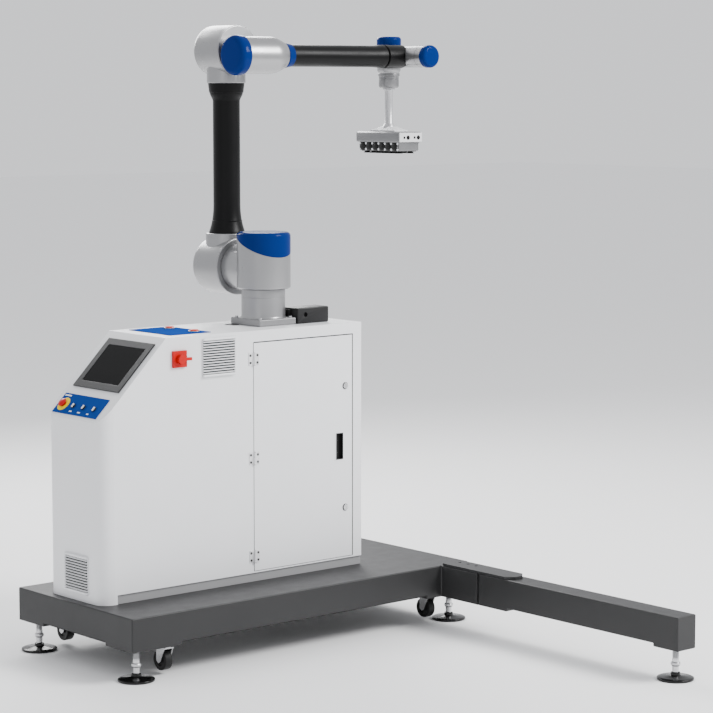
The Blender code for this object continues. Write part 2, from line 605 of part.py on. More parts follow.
def make_top_panel():
    thick = 0.0025
    panel = block("top_panel", (TOP_PANEL_X[0], TOP_PANEL_Y[0], CAB_TOP + GAP),
                  (TOP_PANEL_X[1], TOP_PANEL_Y[1], CAB_TOP + thick), "panel_blue")
    for number, y in enumerate(TOP_BUTTON_YS, 1):
        cut(panel, rod("top_panel_hole", (TOP_BUTTON_X, y, CAB_TOP - 0.02),
                       (TOP_BUTTON_X, y, CAB_TOP + 0.02), TOP_BUTTON_HOLE, sides=16))
        top = thick + 0.008
        r = TOP_BUTTON_RADIUS
        cap = [(0, top), (r - 0.002, top), (r, top - 0.0015), (r, thick + 0.0045),
               (0.008, thick + 0.0045), (0.008, -0.018), (0, -0.018)]
        turned("top_button_%d" % number, cap, (TOP_BUTTON_X, y, CAB_TOP), (0, 0, 1),
               "warning_red", 16)


def make_inside():
    """The robot controller on the cabinet's floor, and the gripper's vacuum pump beside it."""
    floor = CAB_LOW + CAB_WALL + GAP
    controller = block("controller_unit", (-0.500, 0.060, floor), (-0.080, 0.320, floor + 0.300),
                       "grey_plastic")
    bevel(controller, 0.004, 1)
    pump = block("vacuum_pump", (-0.880, 0.090, floor), (-0.640, 0.260, floor + 0.030),
                 "aluminium")
    join(pump, rod("pump_motor", (-0.860, 0.175, floor + 0.090), (-0.660, 0.175, floor + 0.090),
                   0.064, sides=24))


# ---------------------------------------------------------------- arm
def arm_point(x, y, z):
    """A datum point from its offsets along X and Y from the first axis, and its height."""
    return Vector((J1_X + x, J1_Y + y, z))


def make_arm_base():
    half = PLATE_SIDE / 2
    plate = block("robot_plate", arm_point(-half, -half, CAB_TOP + GAP),
                  arm_point(half, half, CAB_TOP + PLATE_THICK), "plate_grey")
    bevel(plate, 0.003, 1)
    low = CAB_TOP + PLATE_THICK + GAP
    high = SHOULDER_LOW - RUN
    radius = ARM_BASE_RADIUS
    groove = high - 0.030
    profile = [(0, high), (radius - 0.001, high), (radius, high - 0.001), (radius, groove + 0.002),
               (radius - 0.0015, groove + 0.001), (radius - 0.0015, groove - 0.001),
               (radius, groove - 0.002), (radius, low + 0.006), (radius + 0.003, low), (0, low)]
    turned("arm_base", profile, arm_point(0, 0, 0), (0, 0, 1), "arm_silver")
    box = block("connector_box", arm_point(BOX_LEFT, BOX_Y[0], CAB_TOP + GAP),
                arm_point(BOX_RIGHT, BOX_Y[1], CAB_TOP + BOX_HEIGHT), "grey_plastic")
    bevel(box, 0.004, 2)
    neck_low = CAB_TOP + PLATE_THICK + 0.002
    join(box, block("connector_neck", arm_point(radius + 0.0035, -0.050, neck_low),
                    arm_point(BOX_LEFT + 0.02, 0.015, CAB_TOP + BOX_HEIGHT - 0.008)))
    cut(box, block("plate_clearance", arm_point(-half, -half - 0.001, CAB_TOP - 0.01),
                   arm_point(half + 0.001, half, CAB_TOP + PLATE_THICK + 0.001)))
    cut(box, rod("connector_port", arm_point(0.132, BOX_Y[0] - 0.05, CAB_TOP + 0.034),
                 arm_point(0.132, BOX_Y[0] + 0.010, CAB_TOP + 0.034), 0.009, sides=20))


def make_shoulder():
    lean = math.atan(CAP_CUT_SLOPE)
    turn = Matrix.Translation(arm_point(0, 0, CAP_CUT_Z)) @ Matrix.Rotation(lean, 4, "X")
    size = 0.3          # larger than the shoulder every way
    above = block("above_cut", (-size, -size, 0), (size, size, size), turn=turn)
    below = block("below_cut", (-size, -size, -size), (size, size, GAP), turn=turn)
    whole = rounded_profile(SHOULDER_RADIUS, SHOULDER_LOW, SHOULDER_TOP, 0.014, 0.006)
    housing = turned("shoulder_housing", whole, arm_point(0, 0, 0), (0, 0, 1), "arm_silver")
    cut(housing, above)
    stub = turned("shoulder_stub", rounded_profile(STUB_RADIUS, 0.020, LINK_NEAR - RUN, 0.003,
                                                   0.001, 2),
                  arm_point(0, 0, J2_Z), (0, 1, 0), None, 28)
    cut(stub, block("above_cut_copy", (-size, -size, -GAP),
                    (size, SHOULDER_RADIUS + 0.004, size), turn=turn))
    cut(stub, block("under_shoulder", arm_point(-size, -size, J2_Z - size),
                    arm_point(size, ARM_BASE_RADIUS + 0.003, SHOULDER_LOW)))
    join(housing, stub)
    cap = turned("shoulder_cap", whole, arm_point(0, 0, 0), (0, 0, 1), "cap_blue")
    cut(cap, below)


def link_body(name, z, radius, neck_y, neck_radius, neck_end):
    """A housing along Y with its far end domed, and the neck that carries the tube."""
    body = turned(name, rounded_profile(radius, LINK_NEAR, LINK_FAR, 0.045, 0.006),
                  arm_point(0, 0, z), (0, 1, 0), "arm_silver")
    join(body, rod(name + "_neck", arm_point(0, neck_y, min(z, neck_end)),
                   arm_point(0, neck_y, max(z, neck_end)), neck_radius, sides=28))


def make_upper_arm():
    link_body("lower_link_housing", J2_Z, LOWER_LINK_RADIUS, LOWER_NECK_Y, LOWER_NECK_RADIUS,
              LOWER_NECK_TOP)
    link_body("elbow_housing", J3_Z, ELBOW_RADIUS, TUBE_Y, UPPER_NECK_RADIUS, UPPER_NECK_LOW)
    low, high = LOWER_NECK_TOP + GAP, UPPER_NECK_LOW - GAP
    r, n = TUBE_RADIUS, FLARE_RADIUS
    profile = [(0, high), (n - 0.001, high), (n, high - 0.002), (n - 0.004, high - 0.033),
               (n - 0.008, high - 0.040), (r, high - 0.066), (r, low + 0.110),
               (r + 0.002, low + 0.080), (r + 0.007, low + 0.045), (r + 0.014, low + 0.018),
               (n, low + 0.004), (n, low), (0, low)]
    turned("upper_arm_tube", profile, arm_point(0, TUBE_Y, 0), (0, 0, 1), "tube_black")


def make_forearm():
    axis = arm_point(0, FOREARM_Y, FOREARM_Z)
    r, taper = FOREARM_RADIUS, FOREARM_TAPER
    front, rear = FOREARM_FRONT, FOREARM_REAR + GAP
    profile = [(0, front), (r - taper, front), (r - 0.85 * taper, front - 0.008),
               (r - 0.45 * taper, front - 0.030), (r - 0.12 * taper, front - 0.054),
               (r, front - 0.070), (r, rear), (0, rear)]
    housing = turned("forearm_housing", profile, axis, (1, 0, 0), "arm_silver")
    reach = LINK_NEAR - FOREARM_Y - RUN
    join(housing, turned("elbow_boss",
                         rounded_profile(ELBOW_BOSS_RADIUS, 0.0, reach, 0.003, 0.001, 2),
                         arm_point(0, FOREARM_Y, J3_Z), (0, 1, 0)))
    cap_r, depth = FOREARM_CAP_RADIUS, FOREARM_CAP_DEPTH
    rim = 0.016
    dome = [(0, 0), (cap_r - 0.001, 0), (cap_r, -0.001)]
    dome += arc((cap_r - rim, -depth + rim), rim, 0, -90, 4)
    dome += [(0, -depth)]
    turned("forearm_cap", dome, axis + Vector((FOREARM_REAR, 0, 0)), (1, 0, 0), "cap_blue")
    start = FOREARM_FRONT + RUN
    t = ROLL_TUBE_RADIUS
    lip = 0.0035
    tube = [(0, COLLAR_END), (t + 0.001, COLLAR_END), (t + 0.004, COLLAR_END - 0.003),
            (t + 0.004, COLLAR_START), (t - 0.003, COLLAR_START - 0.001),
            (t - 0.003, ROLL_TUBE_END + 0.001), (t + lip, ROLL_TUBE_END),
            (t + lip, ROLL_TUBE_END - 0.012), (t, ROLL_TUBE_END - 0.050), (t, RING_END + GAP),
            (t - 0.012, RING_END + GAP), (t - 0.012, start), (0, start)]
    turned("forearm_tube", tube, axis, (1, 0, 0), "tube_black")
    inner = t - 0.012 + GAP
    ring = [(inner, RING_END), (t + 0.0015, RING_END), (t + 0.006, start + 0.006),
            (t + 0.0065, start + 0.003), (t + 0.005, start), (inner, start), (inner, RING_END)]
    turned("forearm_ring", ring, axis, (1, 0, 0), "cap_blue")


def make_wrist():
    axis = arm_point(WRIST_X, FOREARM_Y, FOREARM_Z)
    tool_side = TOOL_Y - FOREARM_Y - TOOL_RADIUS - RUN - 0.004
    r = WRIST_RADIUS
    body = turned("wrist_housing",
                  [(0, tool_side), (r - 0.006, tool_side), (r - 0.003, tool_side - 0.006),
                   (r, tool_side - 0.012), (r, WRIST_NEAR), (0, WRIST_NEAR)],
                  axis, (0, 1, 0), "arm_silver")
    gap_to_tube = COLLAR_END - WRIST_X + GAP
    cut(body, rod("collar_seat", axis + Vector((gap_to_tube - 0.2, 0, 0)),
                  axis + Vector((gap_to_tube, 0, 0)), ROLL_TUBE_RADIUS + 0.006, sides=32))
    depth = WRIST_CAP_DEPTH
    rim = 0.012
    dome = [(0, -GAP), (r + 0.0012, -GAP), (r + 0.002, -0.002)]
    dome += arc((r + 0.002 - rim, -depth + rim), rim, 0, -90, 3)
    dome += [(0, -depth)]
    turned("wrist_cap", dome, axis + Vector((0, WRIST_NEAR, 0)), (0, 1, 0), "cap_blue")


def make_tool_housing():
    axis = arm_point(WRIST_X, TOOL_Y, FOREARM_Z)
    r = TOOL_RADIUS
    cap_low, top = TOOL_CAP_LOW, TOOL_CAP_TOP
    profile = [(0, cap_low), (r, cap_low), (r, TOOL_LOW + 0.012), (r - 0.005, TOOL_LOW),
               (0, TOOL_LOW)]
    turned("tool_housing", profile, axis, (0, 0, 1), "arm_silver")
    dome = [(0, top)] + arc((r + 0.0015 - 0.010, top - 0.010), 0.010, 90, 0, 3)
    dome += [(r + 0.0015, cap_low + 0.002), (r, cap_low + GAP), (0, cap_low + GAP)]
    turned("tool_cap", dome, axis, (0, 0, 1), "cap_blue")


def make_gripper():
    axis = arm_point(WRIST_X, TOOL_Y, FOREARM_Z)
    start = TOOL_LOW - RUN
    low = GRIP_TOP + GAP
    r = PIPE_RADIUS
    profile = [(0, start), (0.042, start), (0.043, start - 0.002), (0.0425, start - 0.010),
               (0.040, start - 0.013), (0.040, FLANGE_LOW + 0.006), (0.036, FLANGE_LOW),
               (0.025, FLANGE_LOW), (0.025, FLANGE_LOW - 0.006), (r, FLANGE_LOW - 0.009),
               (r, PIPE_LOW + 0.010), (r + 0.005, PIPE_LOW), (0.026, PIPE_LOW - 0.008),
               (0.026, low), (0, low)]
    flange = turned("tool_flange", profile, axis, (0, 0, 1), "aluminium")
    join(flange, block("gripper_foot", axis + Vector((-0.036, -0.075, low)),
                       axis + Vector((0.036, 0.075, low + 0.010))))
    half_l, half_w = GRIP_LENGTH / 2, GRIP_WIDTH / 2
    body = block("gripper_body", axis + Vector((-half_w, -half_l, GRIP_MID)),
                 axis + Vector((half_w, half_l, GRIP_TOP)), "aluminium")
    bevel(body, 0.006, 2)
    narrow = 0.010
    join(body, block("gripper_lower", axis + Vector((narrow - half_w, narrow - half_l, GRIP_LOW)),
                     axis + Vector((half_w - narrow, half_l - narrow, GRIP_MID + 0.010))))
    cups = block("suction_cups", axis + Vector((0.016 - half_w, 0.016 - half_l, GRIP_LOW - 0.003)),
                 axis + Vector((half_w - 0.016, half_l - 0.016, GRIP_LOW - GAP)), "black_rubber")
    for column in (-0.030, 0.030):
        for i in range(CUP_COUNT):
            y = (i - (CUP_COUNT - 1) / 2) * CUP_PITCH
            place = axis + Vector((column, y, 0))
            join(cups, rod("cup", place + Vector((0, 0, CUP_LOW)),
                           place + Vector((0, 0, GRIP_LOW - 0.002)), CUP_RADIUS,
                           end_radius=0.009, sides=10))


# ---------------------------------------------------------------- the whole station
def make_station():
    make_base()
    make_beam()
    for name, (x, y) in FOOT_PLACES.items():
        make_foot(name, x, y)
    for name, (x, y) in CASTER_PLACES.items():
        make_caster(name, x, y)
    make_cabinet()
    make_vents()
    make_door()
    for number, z in enumerate(HINGE_HEIGHTS, 1):
        make_hinge(number, z)
    make_main_switch()
    make_operator_panel()
    make_top_panel()
    make_inside()
    make_arm_base()
    make_shoulder()
    make_upper_arm()
    make_forearm()
    make_wrist()
    make_tool_housing()
    make_gripper()


make_station()
bpy.context.view_layer.update()
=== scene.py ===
"""Looks of the palletising robot station: finishes and fine surfaces around the CAD frame.

Places and main sizes come from the frame's own boxes, and fine details have sizes of their own.
Hard-edged CAD nodes are remade with rounded edges, turned ones with a fine outline, and small
pieces such as screws are added on top.
"""

import json
import math

import bmesh
import bpy
from mathutils import Matrix, Vector

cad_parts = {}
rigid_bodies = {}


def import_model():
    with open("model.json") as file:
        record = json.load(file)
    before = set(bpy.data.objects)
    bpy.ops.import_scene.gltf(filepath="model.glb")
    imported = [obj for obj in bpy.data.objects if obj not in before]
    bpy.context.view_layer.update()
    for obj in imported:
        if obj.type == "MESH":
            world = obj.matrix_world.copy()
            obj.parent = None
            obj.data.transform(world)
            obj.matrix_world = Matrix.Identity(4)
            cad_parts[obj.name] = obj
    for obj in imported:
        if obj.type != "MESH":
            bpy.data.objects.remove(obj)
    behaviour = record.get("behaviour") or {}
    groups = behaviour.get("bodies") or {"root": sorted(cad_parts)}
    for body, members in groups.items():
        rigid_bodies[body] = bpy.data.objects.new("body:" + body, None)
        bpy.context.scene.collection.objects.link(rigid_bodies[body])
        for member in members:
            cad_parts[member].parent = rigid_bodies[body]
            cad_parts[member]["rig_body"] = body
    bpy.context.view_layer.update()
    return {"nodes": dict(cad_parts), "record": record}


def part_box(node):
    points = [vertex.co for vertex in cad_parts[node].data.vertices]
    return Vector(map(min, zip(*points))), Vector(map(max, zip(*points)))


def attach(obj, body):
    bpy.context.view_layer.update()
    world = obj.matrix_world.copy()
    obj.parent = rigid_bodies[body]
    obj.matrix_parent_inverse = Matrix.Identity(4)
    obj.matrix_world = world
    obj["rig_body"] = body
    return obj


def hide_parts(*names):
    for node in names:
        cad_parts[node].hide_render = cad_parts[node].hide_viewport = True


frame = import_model()

X, Y, Z = Vector((1, 0, 0)), Vector((0, 1, 0)), Vector((0, 0, 1))
SLOPE_DOWN = Vector((-1, 0, -1)).normalized()    # down along the sloped operator panel
SLOPE_OUT = Vector((-1, 0, 1)).normalized()      # straight out of it
RELIEF = 0.0004         # how far a printed or glued layer stands off what it lies on
FINE = 96               # sides of a large round piece
SMALL = 40              # sides of a small round piece
FAR = 0.4               # how far a cutting block reaches

# camera, light and floor
CAMERA_PLACE = Vector((-5.951, -6.918, 2.060))   # from the floor below the cabinet's +X, -Y corner
CAMERA_AZIMUTH, CAMERA_DROP = 40.59, 6.42        # degrees
CAMERA_LENS = 121.9                              # mm
LIGHT_AIM = Vector((0, 0, 1))
LIGHTS = (              # name, place, sides, watts
    ("key", (3.4, -4.2, 5.0), (2.6, 2.6), 620),
    ("fill", (-5.0, -2.0, 2.8), (2.5, 3.5), 12),
    ("rim", (1.5, 4.5, 3.6), (3.5, 2.0), 260),
)
SKY_COLOUR, SKY_STRENGTH = (0.96, 0.97, 1.0, 1), 1.05
FLOOR_COLOUR, FLOOR_ROUGHNESS = (0.96, 0.96, 0.96, 1), 0.85
FLOOR_SIZE, FLOOR_DROP = 80, 0.001               # it lies just below the feet

# a Mix node's colour sockets
MIX_FACTOR, MIX_FIRST, MIX_SECOND, MIX_RESULT = 0, 6, 7, 2

# base
BOLT_INSET, BOLT_START, BOLT_PITCH = 0.032, 0.437, 0.045     # the splice plate's row of bolts
STEM_RADIUS = 0.0118                             # of a levelling foot
THREAD_LOW, THREAD_PITCH, THREAD_DEPTH = 0.074, 0.003, 0.0011
TREAD_ROUND = 0.0035                             # a caster wheel's edges

# cabinet
SEAM, HINGE_SEAM = 0.0036, 0.0014                # the dark lines round the door
SEAM_TUCK = 0.0002                               # how far they reach behind the door's edge
PULL_LIP = 0.0035                                # how far the pull's rim reaches round it
VENT_RIM = 0.0085
VENT_SLATS = {"vent_upper": 13, "vent_lower": 12}
SLAT_TILT = -0.50                                # radians
PANEL_MARKS = (         # place across as a share of the panel's length, place down, width, height
    (0.40, -0.034, 0.040, 0.006), (0.12, 0.031, 0.016, 0.005),
    (-0.07, 0.031, 0.016, 0.005), (-0.27, 0.031, 0.012, 0.005),
)

# arm and gripper
PLATE_BOLT_INSET = 0.016
SHOULDER_SLOPE = 0.46                            # rise over run of the cut below the shoulder's cap
LINK_ROUND = 0.027                               # the far rims of the two link housings
ELBOW_BOSS_RADIUS = 0.049
COLLAR_LENGTH, COLLAR_AND_GAP = 0.094, 0.101     # back from the forearm tube's end
PIPE_RADIUS = 0.0163                             # of the gripper's upright pipe
WEB_HALF = 0.0020                                # half a web's thickness
CUP_PITCH, CUPS_IN_ROW = 0.038, 6
CUP_ROWS = (-0.030, 0.030)
END_HOLES = ((-0.034, 0.0054), (-0.014, 0.0088), (0.020, 0.0054), (0.040, 0.0088))  # place, radius
HOLE_DROP = 0.022                                # from the gripper body's top


# ---------------------------------------------------------------- measuring the frame
def span(node):
    low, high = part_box(node)
    return Vector(low), Vector(high)


def middle(node):
    low, high = span(node)
    return (low + high) / 2


def axis_foot(node):
    """The point on the floor plane below a node's middle."""
    centre = middle(node)
    return Vector((centre.x, centre.y, 0))


def points_of(node):
    """The CAD node's corners."""
    return [Vector(v.co) for v in frame["nodes"][node].data.vertices]


# ---------------------------------------------------------------- camera, light and floor
def make_camera():
    low, high = span("cabinet_shell")
    corner = Vector((high.x, low.y, 0))
    data = bpy.data.cameras.new("camera")
    data.lens = CAMERA_LENS
    data.clip_end = 100
    camera = bpy.data.objects.new("camera", data)
    camera.location = corner + CAMERA_PLACE
    camera.rotation_euler = (math.radians(90 - CAMERA_DROP), 0, math.radians(-CAMERA_AZIMUTH))
    bpy.context.scene.collection.objects.link(camera)
    bpy.context.scene.camera = camera


def make_light(name, place, sides, power):
    data = bpy.data.lights.new(name, "AREA")
    data.shape = "RECTANGLE"
    data.size, data.size_y = sides
    data.energy = power
    light = bpy.data.objects.new(name, data)
    light.location = place
    light.rotation_euler = (LIGHT_AIM - Vector(place)).to_track_quat("-Z", "Y").to_euler()
    bpy.context.scene.collection.objects.link(light)


def make_studio():
    world = bpy.data.worlds.new("studio")
    bpy.context.scene.world = world
    world.use_nodes = True
    sky = world.node_tree.nodes["Background"]
    sky.inputs["Color"].default_value = SKY_COLOUR
    sky.inputs["Strength"].default_value = SKY_STRENGTH
    for name, place, sides, power in LIGHTS:
        make_light(name, place, sides, power)
    bpy.ops.mesh.primitive_plane_add(size=FLOOR_SIZE, location=(0, 0, -FLOOR_DROP))
    floor = bpy.context.object
    floor.name = "floor"
    look = bpy.data.materials.new("floor_look")
    look.use_nodes = True
    shader = look.node_tree.nodes["Principled BSDF"]
    shader.inputs["Base Color"].default_value = FLOOR_COLOUR
    shader.inputs["Roughness"].default_value = FLOOR_ROUGHNESS
    floor.data.materials.append(look)


# ---------------------------------------------------------------- materials
def surface(name, colour, rough, metal=0.0, grain=600, bump=0.03, shade=0.05, smear=0.06,
            coat=0.0, streak=None, gloss=0.5):
    """A finish with fine grain in its bump, and slow changes of shade and roughness."""
    look = bpy.data.materials.new(name)
    look.use_nodes = True
    nodes, links = look.node_tree.nodes, look.node_tree.links
    shader = nodes["Principled BSDF"]
    shader.inputs["Metallic"].default_value = metal
    shader.inputs["Coat Weight"].default_value = coat
    shader.inputs["Coat Roughness"].default_value = 0.08
    shader.inputs["Specular IOR Level"].default_value = gloss
    place = nodes.new("ShaderNodeTexCoord")

    def noise(scale, detail, stretch=None):
        texture = nodes.new("ShaderNodeTexNoise")
        texture.inputs["Scale"].default_value = scale
        texture.inputs["Detail"].default_value = detail
        if stretch:
            mapping = nodes.new("ShaderNodeMapping")
            mapping.inputs["Scale"].default_value = stretch
            links.new(place.outputs["Object"], mapping.inputs["Vector"])
            links.new(mapping.outputs["Vector"], texture.inputs["Vector"])
        else:
            links.new(place.outputs["Object"], texture.inputs["Vector"])
        return texture.outputs["Fac"]

    def between(factor, low, high):
        """Spread the band that a noise's values mostly fall in over a range."""
        ramp = nodes.new("ShaderNodeMapRange")
        ramp.inputs["From Min"].default_value = 0.3
        ramp.inputs["From Max"].default_value = 0.7
        ramp.inputs["To Min"].default_value = low
        ramp.inputs["To Max"].default_value = high
        links.new(factor, ramp.inputs["Value"])
        return ramp.outputs["Result"]

    slow = noise(5.0, 4.0)
    mix = nodes.new("ShaderNodeMix")
    mix.data_type = "RGBA"
    mix.inputs[MIX_FIRST].default_value = (*(c * (1 - shade) for c in colour), 1)
    mix.inputs[MIX_SECOND].default_value = (*(min(1.0, c * (1 + shade)) for c in colour), 1)
    links.new(between(slow, 0, 1), mix.inputs[MIX_FACTOR])
    links.new(mix.outputs[MIX_RESULT], shader.inputs["Base Color"])
    fine = noise(grain, 2.0, streak)
    patch = nodes.new("ShaderNodeMath")
    patch.operation = "ADD"
    links.new(between(noise(17.0, 5.0), rough - smear / 2, rough + smear / 2), patch.inputs[0])
    links.new(between(fine, -smear / 4, smear / 4), patch.inputs[1])
    links.new(patch.outputs["Value"], shader.inputs["Roughness"])
    relief = nodes.new("ShaderNodeBump")
    relief.inputs["Strength"].default_value = bump
    relief.inputs["Distance"].default_value = 0.001
    links.new(fine, relief.inputs["Height"])
    links.new(relief.outputs["Normal"], shader.inputs["Normal"])
    return look


# Each finish: name, colour, roughness, metal, grain, bump, shade, smear, coat.
# These are the record's own slots.
LOOKS = {
    "dark_steel": surface("dark_powder_coat", (0.024, 0.024, 0.0245), 0.42, 0.0, 900, 0.10,
                          gloss=0.30),
    "cabinet_paint": surface("white_powder_coat", (0.82, 0.825, 0.84), 0.38, 0.0, 700, 0.05, 0.015),
    # the plinth's dark grey is painted shade of its recess below the cabinet's walls
    "plinth_paint": surface("grey_powder_coat", (0.28, 0.28, 0.285), 0.45, 0.0, 700, 0.05, 0.03),
    "chrome": surface("galvanised_steel", (0.66, 0.66, 0.67), 0.30, 0.75, 500, 0.06, 0.06),
    "zinc": surface("zinc_plate", (0.56, 0.56, 0.57), 0.26, 0.9, 500, 0.06, 0.06),
    "black_rubber": surface("black_rubber", (0.007, 0.007, 0.007), 0.50, 0.0, 900, 0.12, 0.2,
                            gloss=0.25),
    "black_plastic": surface("black_plastic", (0.008, 0.008, 0.008), 0.38, 0.0, 1200, 0.10, 0.1,
                             gloss=0.25),
    "grey_plastic": surface("dark_grey_plastic", (0.030, 0.030, 0.031), 0.42, 0.0, 1200, 0.12,
                            0.06, gloss=0.25),
    "grey_enclosure": surface("enclosure_grey", (0.20, 0.20, 0.21), 0.45, 0.0, 1000, 0.08),
    "screen_glass": surface("screen_glass", (0.002, 0.002, 0.0022), 0.20, 0.0, 200, 0.0, 0.1, 0.02,
                            gloss=0.05),
    "panel_blue": surface("panel_film_blue", (0.012, 0.056, 0.270), 0.42, 0.0, 900, 0.04, 0.04,
                          gloss=0.0),
    "cap_blue": surface("cap_blue_gloss", (0.002, 0.019, 0.130), 0.20, 0.0, 300, 0.008, 0.02,
                        0.03, 0.06, gloss=0.02),
    "arm_silver": surface("silver_satin_paint", (0.33, 0.33, 0.335), 0.30, 0.78, 1500, 0.05, 0.02),
    "plate_grey": surface("anodised_plate", (0.25, 0.25, 0.255), 0.40, 0.5, 1200, 0.08, 0.04),
    "tube_black": surface("tube_satin_black", (0.0025, 0.0025, 0.0027), 0.36, 0.0, 1400, 0.10, 0.1,
                          gloss=0.14),
    "warning_red": surface("signal_red", (0.50, 0.0015, 0.0015), 0.32, 0.0, 800, 0.03, 0.03,
                           gloss=0.25),
    "aluminium": surface("satin_aluminium", (0.22, 0.22, 0.225), 0.34, 0.75, 900, 0.06, 0.05,
                         streak=(1, 1, 14)),
}
# These are worn by single pieces in place of their slot's finish.
EXTRA = {
    "signal_yellow": surface("signal_yellow", (0.90, 0.68, 0.001), 0.42, 0.0, 800, 0.03, 0.03,
                             gloss=0.02),
    "white_print": surface("white_print", (0.80, 0.81, 0.83), 0.45, 0.0, 800, 0.02, 0.02),
    "dark_gap": surface("dark_gap", (0.006, 0.006, 0.006), 0.70, 0.0, 500, 0.05, 0.1, gloss=0.1),
    "steel_screw": surface("steel_screw", (0.45, 0.45, 0.46), 0.28, 1.0, 500, 0.05, 0.08),
    "lamp_orange": surface("lamp_orange", (0.70, 0.030, 0.004), 0.28, 0.0, 500, 0.02, 0.04,
                           0.05, 0.02, gloss=0.02),
    "end_plate": surface("white_end_plate", (0.74, 0.74, 0.75), 0.34, 0.2, 900, 0.05, 0.03),
    "foot_black": surface("foot_black_gloss", (0.005, 0.005, 0.005), 0.20, 0.0, 500, 0.02, 0.1,
                          gloss=0.3),
    "dark_shell": surface("dark_shell", (0.014, 0.014, 0.0145), 0.40, 0.0, 900, 0.08, 0.1,
                          gloss=0.25),
    "dark_screw": surface("dark_screw", (0.045, 0.045, 0.045), 0.35, 0.6, 500, 0.05, 0.1),
    "vent_shadow": surface("vent_shadow", (0.012, 0.012, 0.013), 0.60, 0.0, 500, 0.05, 0.1,
                           gloss=0.1),
    "pipe_white": surface("pipe_pale", (0.50, 0.50, 0.51), 0.34, 0.60, 900, 0.01, 0.03),
    "cup_bay": surface("cup_bay_grey", (0.060, 0.060, 0.061), 0.45, 0.2, 900, 0.05, 0.05),
    "leaf_white": surface("hinge_leaf", (0.78, 0.78, 0.79), 0.28, 0.45, 700, 0.05, 0.04),
}


# ---------------------------------------------------------------- making pieces
def body_name(node):
    return frame["nodes"][node].get("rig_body")


def slot_of(node):
    for entry in frame["record"]["subparts"]:
        if entry["node"] == node:
            return entry["material_slot"]
    raise KeyError(node)


def piece(name, shape, body, slot, look=None, smooth=35):
    """Turn a bmesh into a piece that rides on a body, with its slot's finish or an extra one."""
    mesh = bpy.data.meshes.new(name)
    bmesh.ops.recalc_face_normals(shape, faces=shape.faces)
    shape.to_mesh(mesh)
    shape.free()
    mesh.materials.append(EXTRA[look] if look else LOOKS[slot])
    mesh.shade_smooth()
    mesh.set_sharp_from_angle(angle=math.radians(smooth))
    item = bpy.data.objects.new(name, mesh)
    bpy.context.scene.collection.objects.link(item)
    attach(item, body)
    return item


def round_edges(item, width, segments=3, angle=35, clamp=True):
    """Round the sharp edges with a bevel modifier, which stays on the piece."""
    step = item.modifiers.new("round", "BEVEL")
    step.width = width
    step.segments = segments
    step.limit_method = "ANGLE"
    step.angle_limit = math.radians(angle)
    step.harden_normals = True
    step.use_clamp_overlap = clamp
    return item


def remade(node, width, segments=3, look=None, clamp=True):
    """The CAD node's own surface, with its triangles merged into faces and its edges rounded."""
    shape = bmesh.new()
    shape.from_mesh(frame["nodes"][node].data)
    bmesh.ops.remove_doubles(shape, verts=shape.verts, dist=0.00002)
    bmesh.ops.dissolve_limit(shape, angle_limit=math.radians(1), verts=shape.verts,
                             edges=shape.edges)
    item = piece(node + "_finish", shape, body_name(node), slot_of(node), look)
    round_edges(item, width, segments, clamp=clamp)
    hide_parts(node)
    return item


def turned_shape(profile, centre, axis, sides=FINE):
    """Rings of points round an axis; the profile is (radius, height) from top to bottom.

    A profile that starts off the axis is closed into a hollow ring.
    """
    shape = bmesh.new()
    turn = Z.rotation_difference(Vector(axis).normalized()).to_matrix()
    rings = []
    for radius, height in profile:
        if radius < 1e-6:
            rings.append([shape.verts.new(Vector(centre) + turn @ Vector((0, 0, height)))])
            continue
        ring = []
        for i in range(sides):
            angle = 2 * math.pi * i / sides
            point = Vector((radius * math.cos(angle), radius * math.sin(angle), height))
            ring.append(shape.verts.new(Vector(centre) + turn @ point))
        rings.append(ring)
    pairs = zip(rings, rings[1:] + rings[:1]) if len(rings[0]) > 1 else zip(rings, rings[1:])
    for upper, lower in pairs:
        for i in range(sides):
            k = (i + 1) % sides
            if len(upper) == 1:
                shape.faces.new((upper[0], lower[i], lower[k]))
            elif len(lower) == 1:
                shape.faces.new((upper[i], lower[0], upper[k]))
            else:
                shape.faces.new((upper[i], lower[i], lower[k], upper[k]))
    return shape


def turned(name, profile, centre, axis, body, slot, look=None, sides=FINE, smooth=35):
    shape = turned_shape(profile, centre, axis, sides)
    return piece(name, shape, body, slot, look, smooth)


def arc(centre, radius, start, end, steps=8):
    angles = [math.radians(start + (end - start) * i / steps) for i in range(steps + 1)]
    return [(centre[0] + radius * math.cos(a), centre[1] + radius * math.sin(a)) for a in angles]


def drum(radius, low, high, top_round=0.001, low_round=0.001):
    """A closed turned profile with rounded rims."""
    return ([(0, high)] + arc((radius - top_round, high - top_round), top_round, 90, 0)
            + arc((radius - low_round, low + low_round), low_round, 0, -90) + [(0, low)])


def hoop(inner, outer, low, high, rim=0.0006):
    """A closed ring's profile with slightly rounded outer rims."""
    return ([(inner, high)] + arc((outer - rim, high - rim), rim, 90, 0, 3)
            + arc((outer - rim, low + rim), rim, 0, -90, 3) + [(inner, low)])


def dome(radius, depth, edge, crown, steps):
    """A cap's closed profile: a fine edge at height 0 and a round crown at its far end."""
    return ([(0, 0), (radius - edge, 0)] + arc((radius - edge, -edge), edge, 90, 0, 3)
            + arc((radius - crown, crown - depth), crown, 0, -90, steps) + [(0, -depth)])


def slab(low, high, turn=None):
    low, high = Vector(low), Vector(high)
    shape = bmesh.new()
    bmesh.ops.create_cube(shape, size=1,
                          matrix=Matrix.LocRotScale((low + high) / 2, None, high - low))
    if turn:
        shape.transform(turn)
    return shape


def plate(name, low, high, body, slot, look=None, turn=None, width=0.0006):
    item = piece(name, slab(low, high, turn), body, slot, look)
    return round_edges(item, width, 2)


